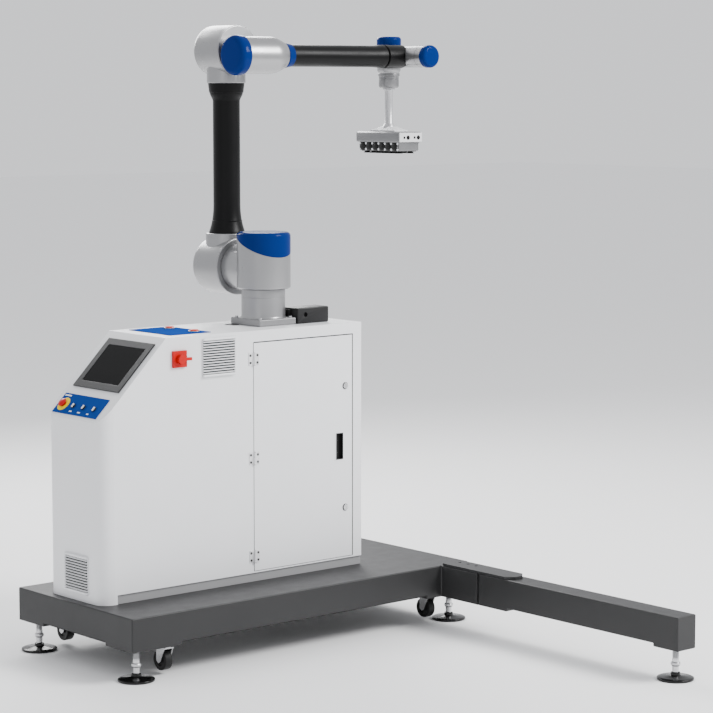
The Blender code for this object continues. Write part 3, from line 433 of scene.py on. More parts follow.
def joined(shapes):
    whole = bmesh.new()
    for shape in shapes:
        mesh = bpy.data.meshes.new("part")
        shape.to_mesh(mesh)
        shape.free()
        whole.from_mesh(mesh)
        bpy.data.meshes.remove(mesh)
    return whole


def screw_head(place, outward, radius, height):
    """A socket head: a rounded drum with a round recess."""
    turn = Z.rotation_difference(Vector(outward).normalized()).to_matrix().to_4x4()
    at = Matrix.Translation(Vector(place)) @ turn
    head = turned_shape([(0, height * 0.45), (radius * 0.45, height * 0.45), (radius * 0.5, height)]
                        + arc((radius - height * 0.35, height * 0.65), height * 0.35, 90, 0, 3)
                        + [(radius, 0), (0, 0)], (0, 0, 0), Z, 20)
    head.transform(at)
    return head


def screws(name, places, outward, body, slot, radius, height, look="steel_screw"):
    shapes = [screw_head(place, outward, radius, height) for place in places]
    return piece(name, joined(shapes), body, slot, look, 30)


def boolean(item, other, operation):
    """Join or cut a piece with another shape's mesh, and apply it."""
    step = item.modifiers.new("boolean", "BOOLEAN")
    step.operation = operation
    step.solver = "EXACT"
    step.object = other
    graph = bpy.context.evaluated_depsgraph_get()
    mesh = bpy.data.meshes.new_from_object(item.evaluated_get(graph))
    item.modifiers.clear()
    old = item.data
    item.data = mesh
    bpy.data.meshes.remove(old)
    bpy.data.objects.remove(other)
    item.data.shade_smooth()
    item.data.set_sharp_from_angle(angle=math.radians(30))
    return item


def tool_object(shape):
    mesh = bpy.data.meshes.new("tool")
    bmesh.ops.recalc_face_normals(shape, faces=shape.faces)
    shape.to_mesh(mesh)
    shape.free()
    item = bpy.data.objects.new("tool", mesh)
    bpy.context.scene.collection.objects.link(item)
    return item


def united(item, shape):
    return boolean(item, tool_object(shape), "UNION")


def carved(item, shape):
    return boolean(item, tool_object(shape), "DIFFERENCE")


# ---------------------------------------------------------------- base
def make_base():
    remade("platform_frame", 0.005, 4, clamp=False)
    remade("extension_beam", 0.005, 4, clamp=False)
    remade("splice_plate", 0.0015)
    high = span("splice_plate")[1]
    for i in range(3):
        y = middle("cabinet_shell").y - BOLT_START - BOLT_PITCH * i
        screws("splice_bolt_%d" % (i + 1), [(high.x - BOLT_INSET, y, high.z - 0.007)], Z,
               body_name("splice_plate"), "dark_steel", 0.0058, 0.0045, "dark_gap")


def make_feet():
    """A threaded stem with a ball-shaped swelling, on a domed disc."""
    for node in sorted(n for n in frame["nodes"] if n.startswith("foot_")):
        low, high = span(node)
        centre = axis_foot(node)
        body = body_name(node)
        thread_high = high.z - 0.004
        profile = [(0, high.z - 0.001), (STEM_RADIUS - 0.001, high.z - 0.001)]
        for i in range(int((thread_high - THREAD_LOW) / THREAD_PITCH)):
            z = thread_high - i * THREAD_PITCH
            profile += [(STEM_RADIUS, z), (STEM_RADIUS - THREAD_DEPTH, z - THREAD_PITCH / 2)]
        profile += [(STEM_RADIUS, THREAD_LOW), (0.0122, 0.070)]
        profile += arc((0.0085, 0.055), 0.0090, 65, -65, 10)
        profile += [(STEM_RADIUS, 0.042), (STEM_RADIUS, 0.0275), (0, 0.0275)]
        stem = turned(node + "_stem", profile, centre, Z, body, "chrome", sides=32)
        radius = (high.x - low.x) / 2
        disc = [(0, 0.0270), (0.0125, 0.0270), (0.0165, 0.0250), (0.0175, 0.0215), (0.0175, 0.0160),
                (0.021, 0.0135), (radius - 0.012, 0.0110), (radius - 0.004, 0.0088)]
        disc += arc((radius - 0.003, 0.0050), 0.0030, 80, 0, 5)
        disc += [(radius, 0.0012), (radius - 0.0012, 0.0), (0, 0.0)]
        turned(node + "_disc", disc, centre, Z, body, "black_rubber", "foot_black", 72)
        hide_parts(node)


def make_casters():
    for node in sorted(n for n in frame["nodes"] if n.startswith("caster_fork_")):
        remade(node, 0.0012, 2)
        make_wheel(node.replace("caster_fork_", ""), node)


def make_wheel(name, fork):
    """A rounded tread on a dished hub, with a nut at each end of the axle."""
    wheel = "caster_wheel_" + name
    low, high = span(wheel)
    centre = middle(wheel)
    body = body_name(wheel)
    radius = (high.z - low.z) / 2
    half = (high.x - low.x) / 2
    tread = ([(radius * 0.66, half * 0.90), (radius * 0.80, half)]
             + arc((radius - TREAD_ROUND, half - TREAD_ROUND), TREAD_ROUND, 90, 0, 5)
             + [(radius, 0)]
             + arc((radius - TREAD_ROUND, TREAD_ROUND - half), TREAD_ROUND, 0, -90, 5)
             + [(radius * 0.80, -half), (radius * 0.66, -half * 0.90)])
    item = turned("caster_tread_" + name, tread, centre, X, body, "black_rubber", sides=64)
    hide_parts(wheel)
    outer_half = [(0.0046, half * 0.86), (0.008, half * 0.86), (0.0095, half * 0.60),
                  (radius * 0.58, half * 0.60), (radius * 0.60, half * 0.88),
                  (radius * 0.655, half * 0.88)]
    hub = outer_half + [(r, -z) for r, z in reversed(outer_half)]
    turned("caster_hub_" + name, hub, centre, X, body, "black_rubber", "dark_shell", 48)
    fork_low, fork_high = span(fork)
    reach = (fork_high.x - fork_low.x) / 2 - 0.0065
    for word, side in (("left", -1), ("right", 1)):
        place = Vector((middle(fork).x + side * reach, centre.y, centre.z))
        screws("axle_nut_%s_%s" % (name, word), [place], X * side, body_name(fork), "zinc",
               0.0055, 0.0035)


# ---------------------------------------------------------------- cabinet
def make_cabinet():
    remade("cabinet_shell", 0.0035, 3)
    remade("plinth", 0.0006, 2)
    remade("door", 0.0020, 3)
    remade("door_pull", 0.0008, 2)
    make_pull_rim()
    for node in ("door_lock_upper", "door_lock_lower"):
        make_lock(node)
    for node in sorted(n for n in frame["nodes"] if n.startswith("door_hinge_")):
        make_hinge(node)
    make_dark_top_strip()
    make_door_seams()


def make_pull_rim():
    """The thin rim that stands round the recessed pull."""
    face = span("door")[0].y
    low, high = span("door_pull")
    inner = 0.0010
    rim = slab((low.x - PULL_LIP, face - 0.0016, low.z - PULL_LIP),
               (high.x + PULL_LIP, face - 0.0005, high.z + PULL_LIP))
    rim = piece("door_pull_rim", rim, body_name("door"), "cabinet_paint")
    carved(rim, slab((low.x + inner, face - 0.02, low.z + inner),
                     (high.x - inner, face + 0.02, high.z - inner)))
    round_edges(rim, 0.0005, 2)


def make_door_seams():
    """Dark lines on the shell along the door's top, its lock side and its hinge side."""
    low, high = span("door")
    face = span("cabinet_shell")[0].y
    for word, (x0, z0), (x1, z1) in (
            ("top", (low.x, high.z - SEAM_TUCK), (high.x + SEAM, high.z + SEAM)),
            ("lock_side", (high.x - SEAM_TUCK, low.z), (high.x + SEAM, high.z)),
            ("hinge_side", (low.x - HINGE_SEAM, low.z), (low.x + SEAM_TUCK, high.z))):
        plate("door_seam_" + word, (x0, face - RELIEF, z0), (x1, face, z1), "station",
              "cabinet_paint", "dark_gap", width=0.0001)


def make_lock(node):
    """Round the lock's edges, and add the dark washer on the door's face behind its head."""
    remade(node, 0.0008, 3)
    low, high = span(node)
    centre = (middle(node).x, span("door")[0].y, high.z - (high.x - low.x) / 2)
    turned(node + "_washer", hoop(0.0112, 0.0135, -0.0010, -0.0001), centre, Y,
           body_name("door"), "zinc", "dark_gap", SMALL)


def make_hinge(node):
    """Round the fixed leaf, add the door's leaf, the pin's ends and four screws."""
    remade(node, 0.0007, 2, "leaf_white")
    low, high = span(node)
    pin = Vector((high.x - 0.004, low.y + 0.004, 0))
    door_body = body_name("door")
    face = span("door")[0].y
    leaf_low = Vector((pin.x + 0.0055, face - 0.0023, low.z))
    leaf_high = Vector((pin.x + (high.z - low.z) / 2, face - 0.0003, high.z))
    plate(node + "_door_leaf", leaf_low, leaf_high, door_body, "cabinet_paint",
          "leaf_white", width=0.0007)
    inset, screw_inset = 0.0095, 0.0068
    for side, body, x in (("fixed", body_name(node), low.x + screw_inset),
                          ("door", door_body, leaf_high.x - screw_inset)):
        places = [(x, face - 0.0022, z) for z in (low.z + inset, high.z - inset)]
        screws(node + "_screws_" + side, places, -Y, body, "cabinet_paint", 0.0046, 0.0014,
               "dark_screw")
    half = 0.0009
    for k, z in enumerate((low.z - half, high.z + half)):
        turned("%s_pin_%d" % (node, k + 1), drum(0.0032, -half, half, 0.0006, 0.0006),
               (pin.x, pin.y, z), Z, body_name(node), "zinc", "steel_screw", 24)


def make_dark_top_strip():
    """A thin black plate laid on the cabinet's top, beside the robot's plate."""
    low, high = span("robot_plate")
    top = span("cabinet_shell")[1].z
    plate("cable_slot", (low.x - 0.030, middle("robot_plate").y + 0.030, top + 0.0002),
          (low.x - 0.004, high.y - 0.004, top + 0.0016), "station", "black_plastic", width=0.0006)


def make_vent(node, outward, across):
    """A pressed louvre cover: two rounded rims with slanted slats over a dark back."""
    low, high = span(node)
    depth = abs((high - low).dot(outward))
    width = abs((high - low).dot(across))
    height = high.z - low.z
    foot = Vector(low)
    axis = 0 if abs(outward.x) > 0.5 else 1
    if outward[axis] < 0:
        foot[axis] = high[axis]
    turn = Matrix((across, outward, Z)).transposed().to_4x4()
    turn.translation = foot
    body = body_name(node)
    rim = VENT_RIM
    for word, z in (("low", 0), ("high", height - rim)):
        item = piece(node + "_rim_" + word, slab((0, 0, z), (width, depth, z + rim), turn), body,
                     "cabinet_paint")
        round_edges(item, 0.0034, 4, 60)
        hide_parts(node)
    cheek = 0.0014
    for word, x in (("start", 0), ("end", width - cheek)):
        plate(node + "_cheek_" + word, (x, 0, rim * 0.5), (x + cheek, depth * 0.4, height - rim * 0.5),
              body, "cabinet_paint", turn=turn, width=0.0005)
    count = VENT_SLATS[node]
    pitch = (height - 2 * rim) / count
    for i in range(count):
        z = rim + (i + 0.5) * pitch
        tilt = Matrix.Translation((0, depth - 0.0056, z)) @ Matrix.Rotation(SLAT_TILT, 4, "X")
        plate("%s_slat_%d" % (node, i + 1), (0.0008, -0.0036, -0.0006), (width - 0.0008, 0.0034, 0.0006),
              body, "cabinet_paint", turn=turn @ tilt, width=0.0005)
    plate(node + "_back", (0.0020, 0.0002, rim - 0.001), (width - 0.0020, 0.0010, height - rim + 0.001),
          body, "cabinet_paint", "vent_shadow", turn=turn, width=0.0002)


def make_main_switch():
    remade("main_switch_plate", 0.0020, 3)
    remade("main_switch_knob", 0.0022, 3)


def slope_turn(origin):
    turn = Matrix((SLOPE_DOWN, -Y, SLOPE_OUT)).transposed().to_4x4()
    turn.translation = origin
    return turn


def slope_point(node):
    """The middle of the outer face of a flat node that lies on the sloped panel."""
    centre = middle(node)
    reach = max((p - centre).dot(SLOPE_OUT) for p in points_of(node))
    return centre + SLOPE_OUT * reach


def make_operator_panel():
    remade("hmi_bezel", 0.0018, 3)
    remade("hmi_screen", 0.0004, 2)
    remade("control_panel", 0.0006, 2)
    remade("top_panel", 0.0006, 2)
    remade("estop_button", 0.0012, 3)
    face = slope_point("control_panel")
    points = points_of("estop_button")
    centre = sum(points, Vector()) / len(points)
    centre -= SLOPE_OUT * (centre - face).dot(SLOPE_OUT)
    turned("estop_ring", hoop(0.0118, 0.0284, RELIEF, 0.0028, 0.0008), centre, SLOPE_OUT,
           "station", "panel_blue", "signal_yellow", 72)
    for node in ("selector_1", "selector_2", "selector_3"):
        make_selector(node, face)
    make_print(face)
    for i in (1, 2):
        make_top_button("top_button_%d" % i)


def make_selector(node, face):
    """A black rotary switch with a pale bar, in a bezel of the panel's blue."""
    points = points_of(node)
    out = max((p - face).dot(SLOPE_OUT) for p in points)
    top = [p for p in points if (p - face).dot(SLOPE_OUT) > out - 0.0005]
    along = sum(p.dot(SLOPE_DOWN) for p in top) / len(top)
    centre = middle(node)
    centre -= SLOPE_OUT * (centre - face).dot(SLOPE_OUT)
    centre += SLOPE_DOWN * (along - centre.dot(SLOPE_DOWN))
    body = body_name(node)
    knob = turned(node + "_knob", drum(0.0092, RELIEF, 0.0048, 0.0012, 0.0003), centre, SLOPE_OUT,
                  body, "black_plastic", sides=SMALL)
    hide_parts(node)
    bar = slab((-0.0080, -0.0025, 0.0045), (0.0080, 0.0025, 0.0088), slope_turn(centre))
    bar = piece(node + "_bar", bar, body, "black_plastic", "white_print")
    round_edges(bar, 0.0010, 3)
    turned(node + "_bezel", hoop(0.0106, 0.0124, RELIEF, 0.0024, 0.0005), centre, SLOPE_OUT,
           "station", "panel_blue", sides=SMALL)


def make_print(face):
    """Plain white marks in the places of the panel's captions."""
    low, high = span("control_panel")
    shapes = []
    for across, down, wide, tall in PANEL_MARKS:
        y = -across * (high.y - low.y)
        shapes.append(slab((down - tall / 2, y - wide / 2, 0.00002),
                           (down + tall / 2, y + wide / 2, RELIEF), slope_turn(face)))
    piece("panel_marks", joined(shapes), "station", "panel_blue", "white_print")


def make_top_button(node):
    low, high = span(node)
    centre = axis_foot(node)
    radius = (high.x - low.x) / 2
    panel_top = span("top_panel")[1].z
    cap = turned(node + "_cap", drum(radius - 0.0005, panel_top + 0.0036, high.z, 0.0018, 0.0006),
                 centre, Z, body_name(node), "warning_red", "lamp_orange", SMALL)
    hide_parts(node)
    turned(node + "_bezel", hoop(radius, radius + 0.0035, panel_top + RELIEF, panel_top + 0.0045),
           centre, Z, "station", "panel_blue", "steel_screw", SMALL)


def make_inside():
    remade("controller_unit", 0.0015, 2)
    remade("vacuum_pump", 0.0015, 2)


# ---------------------------------------------------------------- arm
def make_arm_base():
    remade("robot_plate", 0.0016, 3)
    remade("connector_box", 0.0012, 2, "dark_shell")
    low, high = span("arm_base")
    centre = axis_foot("arm_base")
    flare = (high.x - low.x) / 2
    r = flare - 0.003
    groove = high.z - 0.030
    profile = [(0, high.z)] + arc((r - 0.002, high.z - 0.002), 0.002, 90, 0, 5)
    profile += [(r, groove + 0.0014), (r - 0.0012, groove + 0.0010), (r - 0.0012, groove - 0.0010),
                (r, groove - 0.0014), (r, low.z + 0.008)]
    profile += [(r + 0.0006, low.z + 0.005), (r + 0.0014, low.z + 0.003), (flare, low.z + 0.001),
                (flare, low.z), (0, low.z)]
    item = turned("arm_base_casting", profile, centre, Z, "station", "arm_silver")
    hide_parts("arm_base")
    plate_low, plate_high = span("robot_plate")
    corners = [(x, y, plate_high.z - 0.0008)
               for x in (plate_low.x + PLATE_BOLT_INSET, plate_high.x - PLATE_BOLT_INSET)
               for y in (plate_low.y + PLATE_BOLT_INSET, plate_high.y - PLATE_BOLT_INSET)]
    for i, place in enumerate(corners):
        screws("plate_bolt_%d" % (i + 1), [place], Z, "station", "plate_grey", 0.0065, 0.0060)


def shoulder_cut(offset=0.0):
    """The slanted plane between the shoulder and its cap, as a turn and a place."""
    low, high = span("shoulder_cap")
    place = axis_foot("shoulder_cap")
    place.z = low.z + SHOULDER_SLOPE * (high.x - low.x) / 2 + offset
    return Matrix.Translation(place) @ Matrix.Rotation(math.atan(SHOULDER_SLOPE), 4, "X")


def make_shoulder():
    """A drum cut off at a slant, its neck towards the lower link, and the blue cap."""
    low, high = span("shoulder_cap")
    housing_low = span("shoulder_housing")[0].z
    base = max(housing_low, span("arm_base")[1].z + 0.001)
    centre = axis_foot("shoulder_cap")
    r = (high.x - low.x) / 2
    housing = turned("shoulder_casting", drum(r, base + 0.0005, high.z, 0.016, 0.006), centre, Z,
                     "shoulder", "arm_silver")
    carved(housing, slab((-FAR, -FAR, 0.0), (FAR, FAR, FAR), shoulder_cut(-0.0006)))
    j2 = link_axis("lower_link_housing")
    reach = span("lower_link_housing")[0].y - centre.y - 0.0015
    stub_r = j2.z - housing_low
    stub = ([(0, reach)] + arc((stub_r - 0.003, reach - 0.003), 0.003, 90, 0, 4)
            + [(stub_r, r * 0.72), (stub_r, 0.02), (0, 0.02)])
    neck = tool_object(turned_shape(stub, (centre.x, centre.y, j2.z), Y))
    carved(neck, slab((-FAR, -FAR, -0.0006), (FAR, r, FAR), shoulder_cut()))
    carved(neck, slab((centre.x - FAR, centre.y - FAR, 0),
                      (centre.x + FAR, centre.y + r * 0.86, base + 0.0006)))
    boolean(housing, neck, "UNION")
    round_edges(housing, 0.0008, 2, 50)
    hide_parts("shoulder_housing")
    cap = turned("shoulder_cap_shell", drum(r + 0.0006, base + 0.02, high.z, 0.016, 0.004), centre,
                 Z, "shoulder", "cap_blue")
    carved(cap, slab((-FAR, -FAR, -FAR), (FAR, FAR, 0.0), shoulder_cut(0.0004)))
    round_edges(cap, 0.0009, 3, 50)
    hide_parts("shoulder_cap")


def link_axis(node):
    """The middle of a link housing's round body, from its box and its radius."""
    low, high = span(node)
    r = (high.x - low.x) / 2
    z = high.z - r if node == "elbow_housing" else low.z + r
    return Vector(((low.x + high.x) / 2, (low.y + high.y) / 2, z))


def neck_of(node, end):
    """The place and the radius of a link's neck, from its corners in the neck's end plane."""
    points = [p for p in points_of(node) if abs(p.z - end) < 0.0005]
    low, high = min(p.y for p in points), max(p.y for p in points)
    return (low + high) / 2, (high - low) / 2


def make_link(node, name):
    """A round housing with a neck towards the tube, and a fine lip at its near side."""
    low, high = span(node)
    axis = link_axis(node)
    r = (high.x - low.x) / 2
    place = (axis.x, low.y, axis.z)
    housing = turned(name, drum(r, 0, high.y - low.y, LINK_ROUND, 0.004), place, Y, "upper_arm",
                     "arm_silver")
    end = high.z if node == "lower_link_housing" else low.z
    neck_y, neck_r = neck_of(node, end)
    neck = drum(neck_r, min(end, axis.z), max(end, axis.z), 0.003, 0.003)
    united(housing, turned_shape(neck, (axis.x, neck_y, 0), Z))
    round_edges(housing, 0.0012, 2, 40)
    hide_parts(node)
    turned(name + "_lip", hoop(r * 0.9, r + 0.0006, 0.0022, 0.0042, 0.0004), place, Y, "upper_arm",
           "arm_silver")


def make_upper_arm():
    """The two link housings, and the sleeve that is waisted between its flared ends."""
    make_link("lower_link_housing", "lower_link_casting")
    make_link("elbow_housing", "elbow_casting")
    low, high = span("upper_arm_tube")
    c = middle("upper_arm_tube")
    n = (high.x - low.x) / 2
    r = n - 0.018
    points = [(0, high.z), (n - 0.001, high.z), (n, high.z - 0.001), (n - 0.004, high.z - 0.032),
              (n - 0.006, high.z - 0.034)]
    steps = 12
    for i in range(steps + 1):
        t = i / steps
        ease = t * t * (3 - 2 * t)
        points.append((n - 0.0065 + (r - n + 0.0065) * ease, high.z - 0.036 - 0.033 * t))
    for i in range(steps + 1):
        t = i / steps
        points.append((r + (n - r) * t ** 2.4, low.z + 0.115 * (1 - t) + 0.002))
    points += [(n, low.z + 0.0005), (n - 0.0005, low.z), (0, low.z)]
    item = turned("upper_arm_sleeve", points, axis_foot("upper_arm_tube"), Z, "upper_arm",
                  "tube_black")
    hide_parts("upper_arm_tube")
    for word, radius, z in (("high", n - 0.0050, high.z - 0.033), ("low", r + 0.0057, low.z + 0.046)):
        turned("sleeve_clamp_" + word, hoop(radius - 0.006, radius + 0.0008, -0.0030, 0.0030, 0.0012),
               (c.x, c.y, z), Z, "upper_arm", "tube_black")


def make_forearm():
    low, high = span("forearm_housing")
    cap_low, cap_high = span("forearm_cap")
    cap = (cap_low + cap_high) / 2
    axis = Vector((0, cap.y, cap.z))
    r = (high.z - low.z) / 2
    front, rear = high.x, cap_high.x + 0.0003
    profile = [(0, front), (r - 0.0215, front), (r - 0.0200, front - 0.0012)]
    steps = 10
    for i in range(1, steps + 1):
        t = i / steps
        profile.append((r - 0.0200 * (1 - math.sin(t * math.pi / 2)), front - 0.0012 - 0.067 * t))
    profile += [(r, rear + 0.001), (r - 0.001, rear), (0, rear)]
    housing = turned("forearm_casting", profile, axis, X, "forearm", "arm_silver")
    reach = span("elbow_housing")[0].y - 0.0015 - cap.y
    j3 = link_axis("elbow_housing")
    boss = drum(ELBOW_BOSS_RADIUS, 0, reach, 0.003, 0.001)
    united(housing, turned_shape(boss, (j3.x, cap.y, j3.z), Y))
    round_edges(housing, 0.0015, 2, 45)
    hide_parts("forearm_housing")
    shell = dome((cap_high.z - cap_low.z) / 2, cap_high.x - cap_low.x, 0.0012, 0.021, 14)
    item = turned("forearm_cap_shell", shell, (cap_high.x, cap.y, cap.z), X, "forearm", "cap_blue",
                  smooth=50)
    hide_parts("forearm_cap")
    make_roll_tube(axis)


def make_roll_tube(axis):
    """The forearm's black tube with its collar, and the blue ring at its start."""
    body = "forearm_roll"
    low, high = span("forearm_tube")
    ring_low, ring_high = span("forearm_ring")
    collar_r = (high.z - low.z) / 2
    tube_r = collar_r - 0.004
    end, start = high.x, ring_low.x
    collar_start = end - COLLAR_LENGTH
    gap_start = end - COLLAR_AND_GAP
    profile = [(0, end)] + arc((collar_r - 0.004, end - 0.004), 0.004, 90, 0, 5)
    profile += [(collar_r, collar_start + 0.0015), (collar_r - 0.0015, collar_start),
                (tube_r - 0.003, collar_start - 0.001), (tube_r - 0.003, gap_start + 0.001),
                (tube_r + 0.0025, gap_start), (tube_r + 0.0035, gap_start - 0.001),
                (tube_r + 0.0035, gap_start - 0.012), (tube_r + 0.0020, gap_start - 0.026),
                (tube_r, gap_start - 0.050), (tube_r, ring_high.x), (tube_r - 0.010, ring_high.x),
                (tube_r - 0.010, start), (0, start)]
    tube = turned("forearm_sleeve", profile, axis, X, body, "tube_black")
    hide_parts("forearm_tube")
    big = (ring_high.z - ring_low.z) / 2
    small, bore = tube_r + 0.0020, tube_r - 0.0094
    ring = [(bore, ring_high.x - 0.0003), (tube_r + 0.0012, ring_high.x - 0.0003),
            (small, ring_high.x - 0.0018)]
    taper = ring_high.x - start - 0.006
    steps = 8
    for i in range(1, steps + 1):
        s = i / steps
        ring.append((small + (big - small) * s ** 1.2, ring_high.x - 0.002 - taper * s))
    ring += [(big, start + 0.0018), (big - 0.0015, start + 0.0003), (bore, start + 0.0003)]
    item = turned("forearm_ring_blue", ring, axis, X, body, "cap_blue")
    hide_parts("forearm_ring")


def make_wrist():
    body = "forearm_roll"
    low, high = span("wrist_housing")
    cap_low, cap_high = span("wrist_cap")
    c = (cap_low + cap_high) / 2
    r = (high.z - low.z) / 2
    axis = Vector((c.x, 0, c.z))
    near = cap_high.y + 0.0003
    profile = [(0, high.y)] + arc((r - 0.010, high.y - 0.006), 0.006, 90, 20, 5)
    profile += [(r - 0.002, high.y - 0.011), (r, high.y - 0.016), (r, near + 0.001),
                (r - 0.001, near), (0, near)]
    housing = turned("wrist_casting", profile, axis, Y, body, "arm_silver")
    tube_low, tube_high = span("forearm_tube")
    seat = (tube_high.z - tube_low.z) / 2 + 0.002
    carved(housing, turned_shape(drum(seat, tube_high.x - 0.2, tube_high.x + 0.0003),
                                 (0, middle("forearm_tube").y, c.z), X))
    round_edges(housing, 0.0008, 2, 50)
    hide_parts("wrist_housing")
    turned("wrist_seam", hoop(r - 0.004, r + 0.00024, -0.0006, 0.0006, 0.0002),
           (c.x, near + 0.030, c.z), Y, body, "arm_silver", "dark_gap")
    shell = dome((cap_high.z - cap_low.z) / 2, cap_high.y - cap_low.y, 0.001, 0.013, 8)
    item = turned("wrist_cap_shell", shell, (c.x, cap_high.y, c.z), Y, body, "cap_blue", smooth=50)
    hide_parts("wrist_cap")
    make_tool_module()


def make_tool_module():
    body = "wrist"
    low, high = span("tool_housing")
    cap_low, cap_high = span("tool_cap")
    r = (high.x - low.x) / 2
    axis = axis_foot("tool_cap")
    z0, z1 = low.z, high.z
    profile = [(0, z1), (r, z1), (r, z0 + 0.030), (r - 0.0006, z0 + 0.029), (r - 0.0006, z0 + 0.0275),
               (r, z0 + 0.0265), (r, z0 + 0.012), (r - 0.001, z0 + 0.008), (r - 0.0045, z0 + 0.001),
               (r - 0.0055, z0), (0, z0)]
    housing = turned("tool_casting", profile, axis, Z, body, "arm_silver")
    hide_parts("tool_housing")
    cap_r = (cap_high.x - cap_low.x) / 2
    shell = ([(0, cap_high.z)] + arc((cap_r - 0.012, cap_high.z - 0.012), 0.012, 90, 0, 8)
             + [(cap_r, z1 + 0.003), (cap_r - 0.0015, z1 + 0.0003), (0, z1 + 0.0003)])
    item = turned("tool_cap_shell", shell, axis, Z, body, "cap_blue", smooth=50)
    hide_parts("tool_cap")


def make_gripper():
    body = "tool"
    low, high = span("tool_flange")
    axis = axis_foot("tool_cap")
    top = high.z
    flange = [(0, top), (0.0415, top)] + arc((0.0415, top - 0.0015), 0.0015, 90, 0, 3)
    flange += [(0.0430, top - 0.0110), (0.0415, top - 0.0125), (0.0400, top - 0.0135),
               (0.0400, top - 0.0220), (0.0388, top - 0.0226), (0.0388, top - 0.0240),
               (0.0400, top - 0.0246), (0.0400, top - 0.0505), (0.0372, top - 0.0565),
               (0.0345, top - 0.0585), (0.0250, top - 0.0590), (0, top - 0.0590)]
    item = turned("flange_ring", flange, axis, Z, body, "aluminium")
    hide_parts("tool_flange")
    p = PIPE_RADIUS
    pipe_top = top - 0.0585
    pipe = [(0, pipe_top), (0.0235, pipe_top), (0.0240, pipe_top - 0.0006),
            (0.0240, pipe_top - 0.0062), (0.0225, pipe_top - 0.0072), (p + 0.0015, pipe_top - 0.008),
            (p, pipe_top - 0.012), (p, low.z + 0.034), (p + 0.0025, low.z + 0.030),
            (p + 0.0075, low.z + 0.022), (p + 0.010, low.z + 0.015), (p + 0.0105, low.z + 0.009),
            (0, low.z + 0.009)]
    turned("gripper_pipe", pipe, axis, Z, body, "aluminium", "pipe_white", 64)
    make_bracket(axis, low.z)
    make_gripper_box(axis)


def make_bracket(c, low):
    """The gripper's foot: a hipped block on a flat plate, with four webs up to the pipe."""
    half_y, half_x = 0.074, 0.035
    plate("bracket_foot", (c.x - half_x, c.y - half_y, low), (c.x + half_x, c.y + half_y, low + 0.0065),
          "tool", "aluminium", "end_plate", width=0.0012)
    hip = bmesh.new()
    rings = []
    for wide, long, z in ((0.033, 0.066, low + 0.0063), (0.020, 0.022, low + 0.0200)):
        rings.append([hip.verts.new((c.x + sx * wide, c.y + sy * long, z))
                      for sx, sy in ((-1, -1), (1, -1), (1, 1), (-1, 1))])
    hip.faces.new(rings[0])
    hip.faces.new(rings[1])
    for i in range(4):
        k = (i + 1) % 4
        hip.faces.new((rings[0][i], rings[0][k], rings[1][k], rings[1][i]))
    round_edges(piece("bracket_hip", hip, "tool", "aluminium", "end_plate"), 0.0012, 3, 15)
    outline = [(0.014, 0.018), (0.026, 0.018), (0.017, 0.034), (0.014, 0.034)]
    for k in range(4):
        shape = bmesh.new()
        face = shape.faces.new([shape.verts.new((x, -WEB_HALF, z)) for x, z in outline])
        extruded = bmesh.ops.extrude_face_region(shape, geom=[face])["geom"]
        bmesh.ops.translate(shape, vec=(0, 2 * WEB_HALF, 0),
                            verts=[v for v in extruded if isinstance(v, bmesh.types.BMVert)])
        shape.transform(Matrix.Translation((c.x, c.y, low)) @ Matrix.Rotation(k * math.pi / 2, 4, "Z"))
        web = piece("bracket_web_%d" % (k + 1), shape, "tool", "aluminium", "pipe_white")
        round_edges(web, 0.0006, 2)


def make_gripper_box(c):
    """The gripper's body, with a drilled plate on each end."""
    low, high = span("gripper_body")
    remade("gripper_body", 0.0022, 3)
    split = high.z - 0.042
    thick = 0.0030
    for word, side, face in (("near", -1, low.y), ("far", 1, high.y)):
        y0, y1 = sorted((face + side * 0.0002, face + side * thick))
        end = piece("gripper_end_" + word, slab((low.x + 0.003, y0, split + 0.003),
                                                (high.x - 0.003, y1, high.z - 0.003)),
                    "tool", "aluminium", "end_plate")
        for x, radius in END_HOLES:
            z = high.z - HOLE_DROP
            carved(end, turned_shape(drum(radius, -0.02, 0.02), (c.x + x, face, z), Y, 24))
            # a dark disc just inside each hole: painted shade of the hole's depth
            turned("end_hole_%s_%d" % (word, round((x + 0.04) * 1000)),
                   drum(radius - 0.0002, -0.0006, 0.0006, 0.0002, 0.0002),
                   (c.x + x, face + side * 0.0023, z), Y, "tool", "aluminium", "dark_gap", 24)
        round_edges(end, 0.0010, 2, 50)
    make_side_frames(c, low, high, split)
    make_cups(c)


def cup_places(c):
    """Where the cups of a row lie along Y."""
    return [c.y + (i - (CUPS_IN_ROW - 1) / 2) * CUP_PITCH for i in range(CUPS_IN_ROW)]


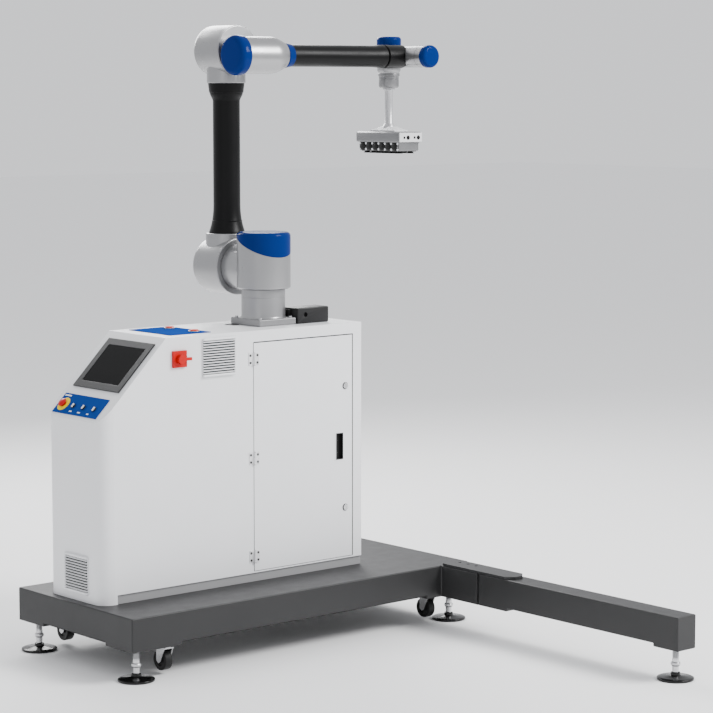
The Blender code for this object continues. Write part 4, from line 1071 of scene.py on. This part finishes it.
def make_side_frames(c, low, high, split):
    """Dark grey skirts beside the cups, with pale fittings, dark side cups and end screws."""
    body = "tool"
    narrow = 0.010
    for word, side, edge in (("left", -1, low.x), ("right", 1, high.x)):
        face = edge - side * narrow
        x0, x1 = sorted((face - side * 0.0004, face + side * 0.0022))
        outer = x1 if side > 0 else x0
        plate("gripper_skirt_" + word, (x0, low.y + 0.012, low.z + 0.001),
              (x1, high.y - 0.012, split + 0.001), body, "aluminium", "cup_bay", width=0.0006)
        dots = [turned_shape(drum(0.0046, 0.0, 0.0016, 0.0005, 0.0002),
                             (outer, c.y + (i - CUPS_IN_ROW / 2) * CUP_PITCH, z), X * side, 20)
                for i in range(CUPS_IN_ROW + 1) for z in (low.z + 0.0055, low.z + 0.0285)]
        piece("gripper_fittings_" + word, joined(dots), body, "aluminium", "white_print")
        cup = [(0, 0.0060), (0.0090, 0.0060), (0.0120, 0.0050), (0.0140, 0.0036),
               (0.0162, 0.0026), (0.0172, 0.0010), (0.0172, 0.0), (0, 0)]
        for i, y in enumerate(cup_places(c)):
            turned("side_cup_%s_%d" % (word, i + 1), cup,
                   (face + side * 0.0020, y, low.z + 0.0165), X * side, body, "black_rubber",
                   sides=28)
        places = [(outer, low.y + 0.017 + k * (high.y - low.y - 0.034), low.z + 0.016)
                  for k in (0, 1)]
        screws("skirt_screws_" + word, places, X * side, body, "aluminium", 0.0032, 0.0016)


def make_cups(c):
    """Bellows cups under the gripper, below a flat manifold."""
    low, high = span("suction_cups")
    manifold = plate("cup_manifold", (low.x + 0.0005, low.y, high.z - 0.0024), high, "tool",
                     "black_rubber", "dark_shell", width=0.0008)
    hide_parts("suction_cups")
    bottom = low.z
    top = high.z - 0.0026
    h = top - bottom
    bellows = [(0, top), (0.0090, top), (0.0092, top - 0.10 * h), (0.0105, top - 0.20 * h),
               (0.0145, top - 0.36 * h), (0.0147, top - 0.44 * h), (0.0112, top - 0.60 * h),
               (0.0125, bottom + 0.24 * h), (0.0163, bottom + 0.07 * h), (0.0163, bottom),
               (0.0118, bottom + 0.08 * h), (0.0060, bottom + 0.30 * h), (0, bottom + 0.34 * h)]
    for row, x in enumerate(CUP_ROWS):
        for i, y in enumerate(cup_places(c)):
            turned("cup_%d_%d" % (row + 1, i + 1), bellows, (c.x + x, y, 0), Z, "tool",
                   "black_rubber", sides=32)


make_camera()
make_studio()
make_base()
make_feet()
make_casters()
make_cabinet()
make_vent("vent_upper", -Y, X)
make_vent("vent_lower", -X, Y)
make_main_switch()
make_operator_panel()
make_inside()
make_arm_base()
make_shoulder()
make_upper_arm()
make_forearm()
make_wrist()
make_gripper()

bpy.context.view_layer.update()
